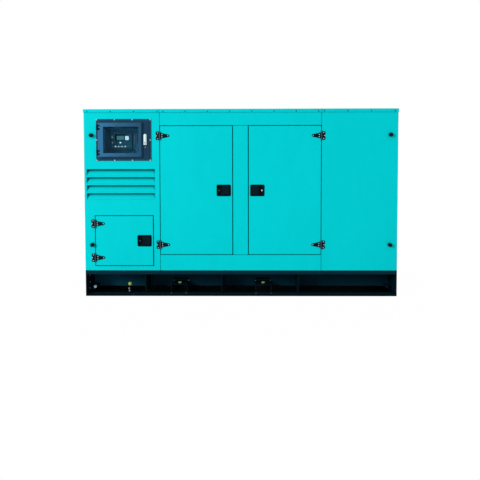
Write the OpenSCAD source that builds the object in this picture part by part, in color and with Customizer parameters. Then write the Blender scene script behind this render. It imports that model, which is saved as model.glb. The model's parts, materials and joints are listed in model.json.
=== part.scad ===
/* [Enclosure] */
// Length of the enclosure over its end faces
body_l = 3000; // [2700:10:3400]
// Depth of the enclosure over its front and rear skins
body_w = 1080; // [1000:10:1300]
// Height from the ground to the top of the roof
total_h = 1800; // [1740:10:1900]
// Height of the black base
base_h = 250; // [230:5:260]
// Width of the left bay, which holds the control window and the louvres
left_bay_w = 724; // [690:1:760]
// Width of the plain right bay
right_bay_w = 726; // [600:1:800]
// Thickness of the panel and door sheet
sheet = 2; // [1.5:0.5:3]
// Depth of a wall panel
wall_t = 40; // [38:1:50]
// Width of the sheet lip turned in behind a panel
back_lip = 14; // [10:1:18]
// Seam between two fixed panels
seam = 3; // [1:0.5:4]

/* [Roof] */
// Thickness of the roof sheet
roof_sheet = 3; // [2:0.5:4]
// How far the roof stands out past the walls
roof_over = 4; // [4:1:14]
// Height of the lip turned down round the roof
roof_lip = 33; // [30:1:60]
// Joint between two roof sections
roof_joint = 2; // [1:0.5:4]
// Thickness of the foam under the roof
roof_foam = 30; // [20:1:45]
// Margin between that foam and the wall panels at the ends
foam_margin = 40; // [20:1:80]

/* [Doors] */
// Height of the panel under the main doors
sill_h = 150; // [110:1:200]
// Height of the panel over the main doors
header_h = 153; // [120:1:200]
// Width of the cover on the post between the main doors
post_w = 142; // [120:1:180]
// Depth of a door leaf
door_t = 35; // [33:1:36]
// Gap round a door on its hinge side, head and sill
door_gap = 6; // [5:0.5:8]
// Gap on a door's latch side
latch_gap = 8; // [6:0.5:10]
// Width of the tube that frames the main doorway inside
frame_w = 40; // [30:1:50]
// Depth of the tube that frames the main doorway inside
frame_d = 30; // [25:1:40]
// How far that frame laps behind a door
frame_lap = 20; // [14:1:26]
// Distance from the enclosure's left end to the cable doorway
cable_x = 96; // [92:1:110]
// Width of the cable doorway
cable_w = 568; // [520:1:572]
// Height of the cable doorway's sill above the base
cable_up = 42; // [40:1:70]
// Height of the cable doorway
cable_h = 491; // [450:1:500]

/* [Hinges and locks] */
// Height of a strap hinge over its barrel
hinge_h = 80; // [74:1:100]
// Radius of a hinge barrel
barrel_r = 7; // [6:0.5:8]
// Distance of a hinge axis in front of the panel face
axis_out = 8; // [7.5:0.5:10]
// Reach of a hinge strap along its door
strap_l = 92; // [80:1:110]
// Width of the hinge leaf on the fixed panel
leaf_w = 38; // [34:1:46]
// Thickness of the hinge plates
hinge_plate = 3; // [2.5:0.5:4]
// Radius of a hinge pin
pin_r = 3; // [2.5:0.5:3.5]
// Radial clearance of a pin in its bore
pin_play = 0.08; // [0.05:0.01:0.1]
// Distance of a big door's hinges from its head and sill
hinge_inset = 93; // [80:1:140]
// Distance of the cable door's hinges from its head and sill
cable_hinge_inset = 81; // [60:1:90]
// Width of a lock's flange
lock_w = 136; // [122:1:140]
// Height of a lock's flange
lock_h = 110; // [98:1:116]
// Distance from a door's latch edge to the middle of its lock
lock_inset = 82; // [78:1:96]
// Depth of a lock's recess
lock_depth = 24; // [20:1:26]
// Length of a lock's paddle
paddle_l = 64; // [56:1:68]
// Radius of a corner knob
knob_r = 19; // [16:0.5:19]
// How far a corner knob stands out
knob_out = 35; // [28:1:35]
// Distance of the corner knobs from the enclosure's ends
knob_in = 73; // [40:1:76]
// Distance of the lower knobs above the base
knob_up = 249; // [220:1:280]
// Distance of the upper knobs below the top of the roof
knob_down = 249; // [240:1:280]

/* [Control window] */
// Distance from the enclosure's left end to the window's flange
flange_x = 118; // [108:1:124]
// Width of the window's flange
flange_w = 530; // [500:1:540]
// Height of the window's flange
flange_h = 398; // [380:1:410]
// Distance of the flange's head below the roof's top
flange_drop = 95; // [80:1:120]
// Border of the flange outside the hinged leaf
flange_border = 18; // [16:1:22]
// Distance from the hinged leaf's left edge to the raised glazing frame
glazing_x = 21; // [8:1:24]
// Width of the raised glazing frame
glazing_w = 408; // [390:1:414]
// Height of the raised glazing frame
glazing_h = 342; // [316:1:350]
// Width of the frame's border on the left of the glass
border_left = 36; // [30:1:46]
// Width of the frame's border on the right of the glass
border_right = 35; // [28:1:40]
// Width of the frame's border over and under the glass
border_ends = 46; // [34:1:50]
// How far the glazing frame stands out
glazing_out = 20; // [14:1:26]
// Depth of the control recess behind the flange
recess_d = 230; // [160:5:260]
// Width of the controller
controller_w = 214; // [160:1:225]
// Height of the controller
controller_h = 178; // [150:1:190]
// Distance from the recess's left side to the middle of the controller
controller_x = 123; // [116:1:180]

/* [Louvres] */
// Number of louvres in a bank
louvre_n = 4; // [2:1:5]
// Share of the spare height between window and cable door that lies under the louvres
louvre_lift = 0.65; // [0.4:0.05:0.8]
// Pitch of the louvres
louvre_pitch = 77; // [70:1:80]
// Height of a louvre's mouth
louvre_h = 62; // [50:1:66]
// Length of a louvre
louvre_w = 658; // [600:1:664]
// Distance from the enclosure's left end to the louvres
louvre_x = 22; // [10:1:24]
// Depth of a louvre at its head
louvre_d = 33; // [26:1:34]
// Number of louvres in the outlet on the right end
outlet_n = 14; // [10:1:15]
// Length of an outlet louvre
outlet_w = 760; // [600:10:800]
// Distance from the top of the roof to the outlet
outlet_drop = 220; // [180:1:260]

/* [Base] */
// Depth of the recess between the sill and the tank's side
recess_side = 243; // [200:1:260]
// Height of the lip along the top of the base
sill_lip = 38; // [28:1:44]
// Thickness of the deck plate
deck_t = 10; // [8:1:12]
// Thickness of the sill lip
sill_t = 8; // [6:1:10]
// Thickness of a gusset
gusset_t = 10; // [8:1:12]
// Distance between gussets
gusset_pitch = 741; // [600:1:800]
// Middle gusset, from the middle of the enclosure
gusset_x = -182; // [-260:1:-120]
// How far a gusset's foot leans back from the front face
gusset_lean = 48; // [30:1:60]
// Depth of the foot rails
foot_d = 80; // [70:1:100]
// Thickness of the foot rails
foot_t = 18; // [12:1:20]
// Thickness of the base's end plates
end_plate = 10; // [8:1:14]
// Thickness of the floor pan
pan_t = 6; // [4:1:6]
// Gap between the floor pan and the ground
pan_up = 2; // [1:0.5:4]
// Height of the tank's floor above the ground
tank_z0 = 40; // [30:1:50]
// Distance between the middles of the fork pockets
fork_spacing = 826; // [700:1:900]
// Middle of the fork pockets, from the middle of the enclosure
fork_x = -191; // [-260:1:-120]
// Outer width of a fork pocket
fork_w = 159; // [150:1:190]
// Height of a fork pocket's top above the ground
fork_top = 95; // [80:1:100]
// Wall of a fork pocket
fork_wall = 6; // [5:1:8]
// Width of the slot over a fork pocket
slot_w = 142; // [100:1:146]
// Height of the slot over a fork pocket
slot_h = 26; // [18:1:34]
// Radius of an anchor hole in the foot rails
anchor_r = 9; // [7:1:11]
// Distance between anchor holes along the enclosure
anchor_l = 2500; // [2300:10:2700]
// Distance of the earth stud to the left of the gusset beside it
stud_x = 162; // [120:1:300]
// Height of the earth stud
stud_h = 72; // [50:1:90]
// Radius of a yellow cap
cap_r = 17; // [14:0.5:20]
// Distance of the fork pockets' caps in front of the tank
fork_cap_out = 113; // [60:1:130]
// Radius of a tank stub
stub_r = 13; // [10:0.5:16]
// Length of a tank stub
stub_l = 140; // [80:1:180]
// Distance of a tank stub from the base's end plate
stub_in = 48; // [36:1:80]

/* [Power unit] */
// Distance from the enclosure's left end to the alternator
alternator_x = 470; // [420:1:520]
// Length of the alternator
alternator_l = 560; // [500:1:600]
// Radius of the alternator's frame
alternator_r = 215; // [190:1:230]
// Height of the alternator's shaft above the base
alternator_up = 350; // [330:1:400]
// Length of the gearbox
gearbox_l = 220; // [180:1:260]
// Width of the gearbox
gearbox_w = 380; // [340:1:400]
// Length of the turbine with its intake and its diffuser
turbine_l = 760; // [680:1:800]
// Radius of the turbine's combustor casing
turbine_r = 240; // [200:1:250]
// Height of the turbine's shaft above the base
turbine_up = 460; // [440:1:500]
// Radius of the exhaust duct
duct_r = 135; // [110:1:150]
// Length of the exhaust duct
duct_l = 150; // [100:1:180]
// Space between the silencer and the outlet's wall
outlet_space = 110; // [80:1:160]
// Space between the silencer and the enclosure's front and rear
silencer_side = 240; // [200:10:290]
// Height of the silencer
silencer_h = 1000; // [900:10:1150]
// Height of the skid rails
skid_h = 70; // [60:1:90]
// Width of a skid rail
skid_w = 60; // [50:1:70]
// Distance of each skid rail from the middle
skid_y = 190; // [170:1:200]

/* [Hidden] */
$fn = 64;
STEEL_GREEN = [0.0, 0.72, 0.75];
BASE_BLACK = [0.06, 0.08, 0.1];
FITTING_BLACK = [0.05, 0.06, 0.07];
WINDOW_BLUE = [0.12, 0.22, 0.33];
FOAM_GREY = [0.16, 0.16, 0.17];
BARE_STEEL = [0.72, 0.74, 0.76];
MACHINE_GREY = [0.48, 0.52, 0.55];

body_x0 = -body_l / 2;
body_x1 = body_l / 2;
face_y = -body_w / 2;
wall_top = total_h - roof_sheet;
wall_h = wall_top - base_h;
doorway_z0 = base_h + sill_h;
doorway_z1 = wall_top - header_h;
mid_x0 = body_x0 + left_bay_w;
mid_x1 = body_x1 - right_bay_w;
post_x0 = (mid_x0 + mid_x1 - post_w) / 2;
post_x1 = post_x0 + post_w;
end_w = body_w - 2 * wall_t;

door_w = post_x0 - mid_x0 - door_gap - latch_gap;
door_h = doorway_z1 - doorway_z0 - 2 * door_gap;
door_z0 = doorway_z0 + door_gap;
cable_x0 = body_x0 + cable_x;
cable_z0 = base_h + cable_up;
lock_z = (doorway_z0 + doorway_z1) / 2;
cable_door_w = cable_w - door_gap - latch_gap;
cable_door_h = cable_h - 2 * door_gap;
cable_lock_z = cable_z0 + cable_h / 2;

flange_x0 = body_x0 + flange_x;
flange_z1 = total_h - flange_drop;
flange_z0 = flange_z1 - flange_h;
flange_t = 3;
window_leaf_t = 3;
window_axis_out = 7;
window_gap = 0.5;
window_leaf_w = flange_w - 2 * flange_border;
window_leaf_h = flange_h - 2 * flange_border;
window_leaf_y = face_y - flange_t - window_gap;
glazing_front_y = window_leaf_y - window_leaf_t - glazing_out;
glass_t = 4;
glass_back = 8;
glazing_x0 = flange_x0 + flange_border + glazing_x;
glazing_z0 = flange_z0 + (flange_h - glazing_h) / 2;
glass_rebate = 8;
opening_w = glazing_w - border_left - border_right;
opening_h = glazing_h - 2 * border_ends;
opening_x0 = glazing_x0 + border_left;
opening_z0 = glazing_z0 + border_ends;
window_edge = 4;
window_axis_x = flange_x0 + flange_border - window_edge;
window_axis_y = window_leaf_y - window_leaf_t - window_axis_out;
window_knuckle_r = 6;
window_hinge_h = 46;
window_hinge_in = 79;
window_hinge_zs = [flange_z0 + window_hinge_in, flange_z1 - window_hinge_in];
window_lock_share = 0.37;
glazing_x1 = glazing_x0 + glazing_w;
window_lock_x = glazing_x1 + window_lock_share * (flange_x0 + flange_w - flange_border - glazing_x1);
window_lock_z = (flange_z0 + flange_z1) / 2;
recess_margin = 8;
recess_x0 = opening_x0 - recess_margin;
recess_z0 = opening_z0 - recess_margin;
recess_w = opening_w + 2 * recess_margin;
recess_h = opening_h + 2 * recess_margin;
recess_back_y = face_y + recess_d;

louvre_bank_h = (louvre_n - 1) * louvre_pitch + louvre_h;
cable_top = cable_z0 + cable_h;
louvre_top = cable_top + louvre_lift * (flange_z0 - cable_top - louvre_bank_h) + louvre_bank_h;
outlet_top = total_h - outlet_drop;
lining_gap = 0.4;

tank_y = body_w / 2 - recess_side;
deck_z0 = base_h - deck_t;
base_x0 = body_x0 + end_plate;
base_in = body_l - 2 * end_plate;
foot_back = face_y + foot_d;
fork_z0 = pan_up + pan_t;
fork_xs = [fork_x - fork_spacing / 2, fork_x + fork_spacing / 2];
slot_up = 10;
slot_d = 40;
gusset_xs = [gusset_x - gusset_pitch, gusset_x, gusset_x + gusset_pitch];
stud_r = 8;
cap_h = 33;
fork_cap_h = 16;
cap_x = gusset_xs[0] - stud_x;
cap_y = face_y + foot_d - cap_r;
fork_cap_y = -tank_y - fork_cap_out;
stub_x = body_x1 - end_plate - stub_in;
stub_z = tank_z0 + stub_r + 9;

knob_xs = [body_x0 + knob_in, body_x1 - knob_in];
knob_zs = [base_h + knob_up, total_h - knob_down];

alternator_x0 = body_x0 + alternator_x;
alternator_z = base_h + alternator_up;
gearbox_x0 = alternator_x0 + alternator_l;
turbine_x0 = gearbox_x0 + gearbox_l;
turbine_x1 = turbine_x0 + turbine_l;
turbine_z = base_h + turbine_up;
skid_x0 = alternator_x0 + skid_w;
skid_x1 = turbine_x1 - skid_w;
skid_top = base_h + skid_h;
silencer_x0 = turbine_x1 + duct_l;
silencer_x1 = body_x1 - wall_t - outlet_space;
silencer_w = body_w - 2 * silencer_side;

// Repeats its children on the rear side
module front_and_rear() {
    children();
    mirror([0, 1, 0]) children();
}

module rounded_plate(w, h, r) {
    translate([r, 0]) square([w - 2 * r, h]);
    translate([0, r]) square([w, h - 2 * r]);
    for (x = [r, w - r], z = [r, h - r]) translate([x, z]) circle(r);
}

// Stands a flat outline up, facing the front, from y = 0 back to y = t
module upright(t) {
    translate([0, t, 0]) rotate([90, 0, 0]) linear_extrude(t) children();
}

// A folded sheet pan: face at y = 0, edges turned back by t, and a lip turned in behind
module pan(w, h, t, lip = back_lip) {
    difference() {
        cube([w, t, h]);
        translate([sheet, sheet, sheet]) cube([w - 2 * sheet, t - 2 * sheet, h - 2 * sheet]);
        translate([sheet + lip, t - 2 * sheet, sheet + lip])
            cube([w - 2 * (sheet + lip), 3 * sheet, h - 2 * (sheet + lip)]);
    }
}

// The foam that lies in such a pan
module pan_foam(w, h, t) {
    g = sheet + lining_gap / 2;
    translate([g, sheet, g]) cube([w - 2 * g, t - 2 * sheet - lining_gap / 2, h - 2 * g]);
}

// One inward louvre: a blade from its sill up to its inner head, with cheeks
module louvre(w, h, d) {
    upright_blade = [[0, 0], [0, sheet], [d - sheet, h], [d, h], [d, h - sheet], [sheet, 0]];
    rotate([90, 0, 90]) linear_extrude(w) polygon(upright_blade);
    for (x = [0, w - sheet])
        translate([x, 0, 0]) rotate([90, 0, 90]) linear_extrude(sheet)
            polygon([[0, 0], [0, h], [d, h], [d, h - sheet], [sheet, 0]]);
}

module louvre_bank(n, w) {
    for (i = [0 : n - 1]) translate([0, 0, -i * louvre_pitch - louvre_h]) louvre(w, louvre_h, louvre_d);
}

module louvre_mouths(n, w, t) {
    for (i = [0 : n - 1]) translate([0, -1, -i * louvre_pitch - louvre_h]) cube([w, t + 2, louvre_h]);
}

// The base
module deck() color(BASE_BLACK) {
    translate([base_x0, face_y, deck_z0]) cube([base_in, body_w, deck_t]);
    front_and_rear() translate([base_x0, face_y, base_h - sill_lip]) cube([base_in, sill_t, sill_lip]);
}

module foot_rails() color(BASE_BLACK) front_and_rear() difference() {
    translate([base_x0, face_y, 0]) cube([base_in, foot_d, foot_t]);
    for (x = [-anchor_l / 2, anchor_l / 2])
        translate([x, face_y + foot_d / 2, -1]) cylinder(foot_t + 2, r = anchor_r);
}

module base_pan() color(BASE_BLACK)
    translate([base_x0, foot_back, pan_up]) cube([base_in, body_w - 2 * foot_d, pan_t]);

module gussets() color(BASE_BLACK) front_and_rear() {
    front_top = face_y + sill_t;
    front_foot = face_y + gusset_lean;
    for (x = gusset_xs)
        translate([x - gusset_t / 2, 0, 0]) rotate([90, 0, 90]) linear_extrude(gusset_t) polygon([
            [front_top, deck_z0], [-tank_y, deck_z0], [-tank_y, tank_z0], [foot_back, foot_t],
            [front_foot, foot_t], [front_top, base_h - sill_lip]]);
}

module base_end_plates() color(BASE_BLACK) for (x = [body_x0, body_x1 - end_plate])
    translate([x, face_y, 0]) cube([end_plate, body_w, base_h]);

module tank() color(BASE_BLACK) difference() {
    translate([base_x0, -tank_y, tank_z0]) cube([base_in, 2 * tank_y, deck_z0 - tank_z0]);
    for (x = fork_xs) {
        translate([x - fork_w / 2, -tank_y - 1, tank_z0 - 1])
            cube([fork_w, 2 * tank_y + 2, fork_top - tank_z0 + 1]);
        front_and_rear() translate([x - slot_w / 2, -tank_y - 1, fork_top + slot_up])
            cube([slot_w, slot_d + 1, slot_h]);
    }
}

module fork_pockets() color(BASE_BLACK) for (x = fork_xs) {
    h = fork_top - fork_z0;
    translate([x - fork_w / 2, foot_back, fork_z0]) difference() {
        cube([fork_w, -2 * foot_back, h]);
        translate([fork_wall, -1, fork_wall])
            cube([fork_w - 2 * fork_wall, -2 * foot_back + 2, h - 2 * fork_wall]);
    }
}

module tank_stubs() color(BARE_STEEL) front_and_rear() for (x = [-stub_x, stub_x])
    translate([x, -tank_y, stub_z]) rotate([90, 0, 0]) rotate_extrude() polygon([
        [0, 0], [stub_r * 0.7, 0], [stub_r * 0.7, stub_l * 0.7], [stub_r, stub_l * 0.7], [stub_r, stub_l - 3],
        [stub_r - 3, stub_l], [0, stub_l]]);

module earth_stud() color(BARE_STEEL) translate([cap_x, cap_y, foot_t]) {
    cylinder(stud_h, r = stud_r);
    for (z = [0, stud_h / 2]) translate([0, 0, z]) cylinder(9, r = 1.6 * stud_r, $fn = 6);
}

module cap(h) rotate_extrude() polygon([[0, 0], [cap_r * 0.7, 0], [cap_r, h * 0.25], [cap_r, h * 0.6],
    [cap_r * 0.87, h * 0.82], [cap_r * 0.5, h * 0.96], [0, h]]);

module yellow_caps() color("yellowgreen") {
    translate([cap_x, cap_y, foot_t + stud_h]) cap(cap_h);
    for (x = fork_xs) translate([x, fork_cap_y, fork_top]) cap(fork_cap_h);
}

// The walls
module left_panel_openings() {
    translate([recess_x0, face_y - 1, recess_z0]) cube([recess_w, wall_t + 2, recess_h]);
    translate([cable_x0, face_y - 1, cable_z0]) cube([cable_w, sheet + 2, cable_h]);
    translate([body_x0 + louvre_x, face_y, louvre_top]) louvre_mouths(louvre_n, louvre_w, sheet);
}

module left_panel() color(STEEL_GREEN) {
    depth = wall_t;
    difference() {
        union() {
            difference() {
                translate([body_x0, face_y, base_h]) pan(left_bay_w, wall_h, depth);
                left_panel_openings();
            }
            // The cable doorway's folded jamb
            translate([cable_x0 - sheet, face_y, cable_z0 - sheet])
                cube([cable_w + 2 * sheet, depth, cable_h + 2 * sheet]);
        }
        translate([cable_x0, face_y - 1, cable_z0]) cube([cable_w, depth - sheet + 1, cable_h]);
        translate([cable_x0 + back_lip, face_y, cable_z0 + back_lip])
            cube([cable_w - 2 * back_lip, depth + 1, cable_h - 2 * back_lip]);
    }
}

module right_panel() color(STEEL_GREEN)
    translate([mid_x1, face_y, base_h]) pan(right_bay_w, wall_h, wall_t);

module headers() color(STEEL_GREEN) front_and_rear()
    translate([mid_x0 + seam, face_y, doorway_z1])
        pan(mid_x1 - mid_x0 - 2 * seam, wall_top - doorway_z1, wall_t);

module sill_panels() color(STEEL_GREEN) front_and_rear()
    translate([mid_x0 + seam, face_y, base_h])
        pan(mid_x1 - mid_x0 - 2 * seam, doorway_z0 - base_h, wall_t);

module center_posts() color(STEEL_GREEN) front_and_rear()
    translate([post_x0, face_y, doorway_z0 + seam])
        pan(post_w, doorway_z1 - doorway_z0 - 2 * seam, wall_t);

module doorway_frames() color(STEEL_GREEN) front_and_rear() {
    y0 = face_y + wall_t;
    x0 = mid_x0 - frame_w + frame_lap;
    x1 = mid_x1 + frame_w - frame_lap;
    z0 = doorway_z0 - frame_w + frame_lap;
    z1 = doorway_z1 + frame_w - frame_lap;
    for (x = [x0, x1 - frame_w]) translate([x, y0, base_h]) cube([frame_w, frame_d, wall_h]);
    for (z = [z0, z1 - frame_w]) translate([x0, y0, z]) cube([x1 - x0, frame_d, frame_w]);
    translate([post_x0 - frame_lap, y0, z0]) cube([post_w + 2 * frame_lap, frame_d, z1 - z0]);
}

module rear_panels() color(STEEL_GREEN) mirror([0, 1, 0]) {
    difference() {
        translate([body_x0, face_y, base_h]) pan(left_bay_w, wall_h, wall_t);
        translate([body_x0 + louvre_x, face_y, louvre_top]) louvre_mouths(louvre_n, louvre_w, sheet);
    }
    translate([mid_x1, face_y, base_h]) pan(right_bay_w, wall_h, wall_t);
}

module left_end_panel() color(STEEL_GREEN)
    translate([body_x0, end_w / 2, base_h]) rotate([0, 0, -90]) pan(end_w, wall_h, wall_t);

module at_outlet() translate([body_x1, -outlet_w / 2, outlet_top]) rotate([0, 0, 90]) children();

module right_end_panel() color(STEEL_GREEN) difference() {
    translate([body_x1, -end_w / 2, base_h]) rotate([0, 0, 90]) pan(end_w, wall_h, wall_t);
    at_outlet() louvre_mouths(outlet_n, outlet_w, sheet);
}

module side_louvres() color(STEEL_GREEN) front_and_rear()
    translate([body_x0 + louvre_x, face_y, louvre_top]) louvre_bank(louvre_n, louvre_w);

module outlet_louvres() color(STEEL_GREEN) at_outlet() louvre_bank(outlet_n, outlet_w);

module left_foam() difference() {
    translate([body_x0, face_y, base_h]) pan_foam(left_bay_w, wall_h, wall_t);
    translate([recess_x0 - 4, face_y - 1, recess_z0 - 4]) cube([recess_w + 8, wall_t + 2, recess_h + 8]);
    translate([cable_x0 - sheet - 0.2, face_y, cable_z0 - sheet - 0.2])
        cube([cable_w + 2 * sheet + 0.4, wall_t, cable_h + 2 * sheet + 0.4]);
    translate([body_x0 - 1, face_y, louvre_top - louvre_n * louvre_pitch])
        cube([left_bay_w + 2, wall_t, louvre_n * louvre_pitch + 10]);
}

module wall_linings() color(FOAM_GREY) {
    left_foam();
    mirror([0, 1, 0]) difference() {
        translate([body_x0, face_y, base_h]) pan_foam(left_bay_w, wall_h, wall_t);
        translate([body_x0 - 1, face_y, louvre_top - louvre_n * louvre_pitch])
            cube([left_bay_w + 2, wall_t, louvre_n * louvre_pitch + 10]);
    }
    front_and_rear() {
        translate([mid_x1, face_y, base_h]) pan_foam(right_bay_w, wall_h, wall_t);
        translate([mid_x0 + seam, face_y, base_h])
            pan_foam(mid_x1 - mid_x0 - 2 * seam, doorway_z0 - base_h, wall_t);
        translate([mid_x0 + seam, face_y, doorway_z1])
            pan_foam(mid_x1 - mid_x0 - 2 * seam, wall_top - doorway_z1, wall_t);
    }
    translate([body_x0, end_w / 2, base_h]) rotate([0, 0, -90]) pan_foam(end_w, wall_h, wall_t);
    margins = [wall_t + foam_margin, wall_t + frame_d + 4];
    translate([body_x0 + margins[0], face_y + margins[1], wall_top - roof_foam])
        cube([body_l - 2 * margins[0], body_w - 2 * margins[1], roof_foam]);
}

// The roof
module roof_section(x0, x1, left_lip, right_lip) {
    y0 = face_y - roof_over;
    w = body_w + 2 * roof_over;
    translate([x0, y0, wall_top]) cube([x1 - x0, w, roof_sheet]);
    lip_z0 = total_h - roof_lip;
    for (y = [y0, -y0 - roof_sheet]) translate([x0, y, lip_z0]) cube([x1 - x0, roof_sheet, roof_lip]);
    if (left_lip) translate([x0, y0, lip_z0]) cube([roof_sheet, w, roof_lip]);
    if (right_lip) translate([x1 - roof_sheet, y0, lip_z0]) cube([roof_sheet, w, roof_lip]);
}

module roof() color(STEEL_GREEN) {
    roof_section(body_x0 - roof_over, mid_x0 - roof_joint / 2, true, false);
    roof_section(mid_x0 + roof_joint / 2, mid_x1 - roof_joint / 2, false, false);
    roof_section(mid_x1 + roof_joint / 2, body_x1 + roof_over, false, true);
}

// Fittings
module knob() rotate([90, 0, 0]) rotate_extrude() polygon([
    [0, 0], [knob_r * 0.9, 0], [knob_r * 0.9, knob_out * 0.17], [knob_r * 0.63, knob_out * 0.28],
    [knob_r * 0.63, knob_out * 0.46], [knob_r * 0.9, knob_out * 0.54], [knob_r, knob_out * 0.68],
    [knob_r * 0.95, knob_out * 0.86], [knob_r * 0.68, knob_out * 0.97], [0, knob_out]]);

module corner_knobs() color(FITTING_BLACK) front_and_rear()
    for (x = knob_xs, z = knob_zs) translate([x, face_y, z]) knob();

// A hinge's plates lie on the face behind its axis, and its local origin is on the axis
module hinge_knuckle(z0, z1, r) translate([0, 0, z0]) cylinder(z1 - z0, r = r);

moving_knuckle = 13;
knuckle_gap = 1;

module hinge_leaf(side = -1) {
    y1 = axis_out;
    z_in = moving_knuckle + knuckle_gap;
    root = barrel_r + 1.5;
    for (s = [-1, 1]) mirror([0, 0, s < 0 ? 1 : 0]) {
        hinge_knuckle(z_in, hinge_h / 2, barrel_r);
        translate([side < 0 ? -root : 0, y1 - hinge_plate, z_in])
            cube([root, hinge_plate, hinge_h / 2 - z_in]);
    }
    hinge_knuckle(-hinge_h / 2, hinge_h / 2, pin_r);
    mirror([side < 0 ? 1 : 0, 0, 0]) translate([0, y1 - hinge_plate, 0]) upright(hinge_plate) {
        for (s = [-1, 1]) {
            translate([leaf_w - 12, s * (hinge_h / 2 - 12)]) circle(12);
            translate([root, s > 0 ? hinge_h / 2 - 24 : -hinge_h / 2]) square([leaf_w - 12 - root, 24]);
        }
        translate([root, -hinge_h / 2 + 14]) square([leaf_w - root - 4, hinge_h - 28]);
    }
}

module hinge_strap(side = 1) {
    y1 = axis_out;
    root = barrel_r + 1.5;
    root_h = 25;
    tip_r = 12;
    difference() {
        union() {
            hinge_knuckle(-moving_knuckle, moving_knuckle, barrel_r);
            mirror([side < 0 ? 1 : 0, 0, 0]) {
                translate([0, y1 - hinge_plate, -moving_knuckle])
                    cube([root + 1, hinge_plate, 2 * moving_knuckle]);
                translate([0, y1 - hinge_plate, 0]) upright(hinge_plate) {
                    tip_x = strap_l - tip_r;
                    polygon([[root, -root_h], [root + 8, -root_h], [tip_x, -tip_r], [tip_x, tip_r],
                        [root + 8, root_h], [root, root_h]]);
                    translate([tip_x, 0]) circle(tip_r);
                }
            }
        }
        hinge_knuckle(-moving_knuckle - 1, moving_knuckle + 1, pin_r + pin_play);
    }
}

big_hinge_zs = [door_z0 + hinge_inset, door_z0 + door_h - hinge_inset];
cable_hinge_zs = [cable_z0 + cable_hinge_inset, cable_z0 + cable_h - cable_hinge_inset];
left_axis_x = mid_x0 + door_gap / 2;
right_axis_x = mid_x1 - door_gap / 2;
cable_axis_x = cable_x0 + door_gap / 2;
axis_y = face_y - axis_out;

module hinge_leaves() color(FITTING_BLACK) {
    for (z = big_hinge_zs) {
        translate([left_axis_x, axis_y, z]) hinge_leaf(-1);
        translate([right_axis_x, axis_y, z]) hinge_leaf(1);
    }
    for (z = cable_hinge_zs) translate([cable_axis_x, axis_y, z]) hinge_leaf(-1);
    for (z = window_hinge_zs) translate([window_axis_x, window_axis_y, z]) window_hinge_fixed();
}

module left_door_straps() color(FITTING_BLACK)
    for (z = big_hinge_zs) translate([left_axis_x, axis_y, z]) hinge_strap(1);

module right_door_straps() color(FITTING_BLACK)
    for (z = big_hinge_zs) translate([right_axis_x, axis_y, z]) hinge_strap(-1);

module cable_door_straps() color(FITTING_BLACK)
    for (z = cable_hinge_zs) translate([cable_axis_x, axis_y, z]) hinge_strap(1);

// Locks: the local origin is the middle of the flange, on the door's face, with the paddle's axis to the right
lock_r = 12;
lock_flange = 3;
lock_wall = 3;
lock_body_w = lock_w - 14;
lock_body_h = lock_h - 14;
lock_fit = 0.3;
paddle_h = lock_body_h - 2 * lock_wall - 10;
paddle_axis = [lock_body_w / 2 - lock_wall - 9, 5];
paddle_pin_r = 2.5;

module lock_hole(t) translate([-lock_body_w / 2 - lock_fit, -1, -lock_body_h / 2 - lock_fit])
    cube([lock_body_w + 2 * lock_fit, t + 2, lock_body_h + 2 * lock_fit]);

module lock() {
    paddle();
    difference() {
        union() {
            translate([-lock_w / 2, -lock_flange, -lock_h / 2])
                upright(lock_flange) rounded_plate(lock_w, lock_h, lock_r);
            translate([-lock_body_w / 2, 0, -lock_body_h / 2])
                cube([lock_body_w, lock_depth + lock_wall, lock_body_h]);
        }
        translate([-lock_body_w / 2 + lock_wall, -lock_flange - 1, -lock_body_h / 2 + lock_wall])
            cube([lock_body_w - 2 * lock_wall, lock_flange + lock_depth + 1, lock_body_h - 2 * lock_wall]);
    }
    translate([paddle_axis[0], paddle_axis[1], -lock_body_h / 2]) cylinder(lock_body_h, r = paddle_pin_r);
    translate([-lock_body_w / 2 + lock_wall + 14, lock_depth, 0])
        rotate([90, 0, 0]) cylinder(lock_depth, r = 11);
}

module paddle() difference() {
    union() {
        translate([paddle_axis[0], paddle_axis[1], -paddle_h / 2]) cylinder(paddle_h, r = 5);
        translate([paddle_axis[0] - paddle_l, paddle_axis[1] - 5, -paddle_h / 2]) cube([paddle_l, 4, paddle_h]);
        translate([paddle_axis[0] - paddle_l, paddle_axis[1] - 5, -paddle_h / 2]) cube([4, 10, paddle_h]);
    }
    translate([paddle_axis[0], paddle_axis[1], -paddle_h]) cylinder(2 * paddle_h, r = paddle_pin_r + pin_play);
}

left_lock_x = post_x0 - latch_gap - lock_inset;
right_lock_x = post_x1 + latch_gap + lock_inset;
cable_lock_x = cable_x0 + cable_w - latch_gap - lock_inset;

module at_left_lock() translate([left_lock_x, face_y, lock_z]) children();
module at_right_lock() translate([right_lock_x, face_y, lock_z]) mirror([1, 0, 0]) children();
module at_cable_lock() translate([cable_lock_x, face_y, cable_lock_z]) children();

module left_lock() color(FITTING_BLACK) at_left_lock() lock();
module right_lock() color(FITTING_BLACK) at_right_lock() lock();
module cable_lock() color(FITTING_BLACK) at_cable_lock() lock();

// Doors
module at_left_door() translate([mid_x0 + door_gap, face_y, door_z0]) children();
module at_right_door() translate([post_x1 + latch_gap, face_y, door_z0]) children();
module at_cable_door() translate([cable_x0 + door_gap, face_y, cable_z0 + door_gap]) children();

module left_door() color(STEEL_GREEN) difference() {
    at_left_door() pan(door_w, door_h, door_t);
    at_left_lock() lock_hole(door_t);
}

module left_door_lining() color(FOAM_GREY) difference() {
    at_left_door() pan_foam(door_w, door_h, door_t);
    at_left_lock() lock_hole(door_t);
}

module right_door() color(STEEL_GREEN) difference() {
    at_right_door() pan(door_w, door_h, door_t);
    at_right_lock() lock_hole(door_t);
}

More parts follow.
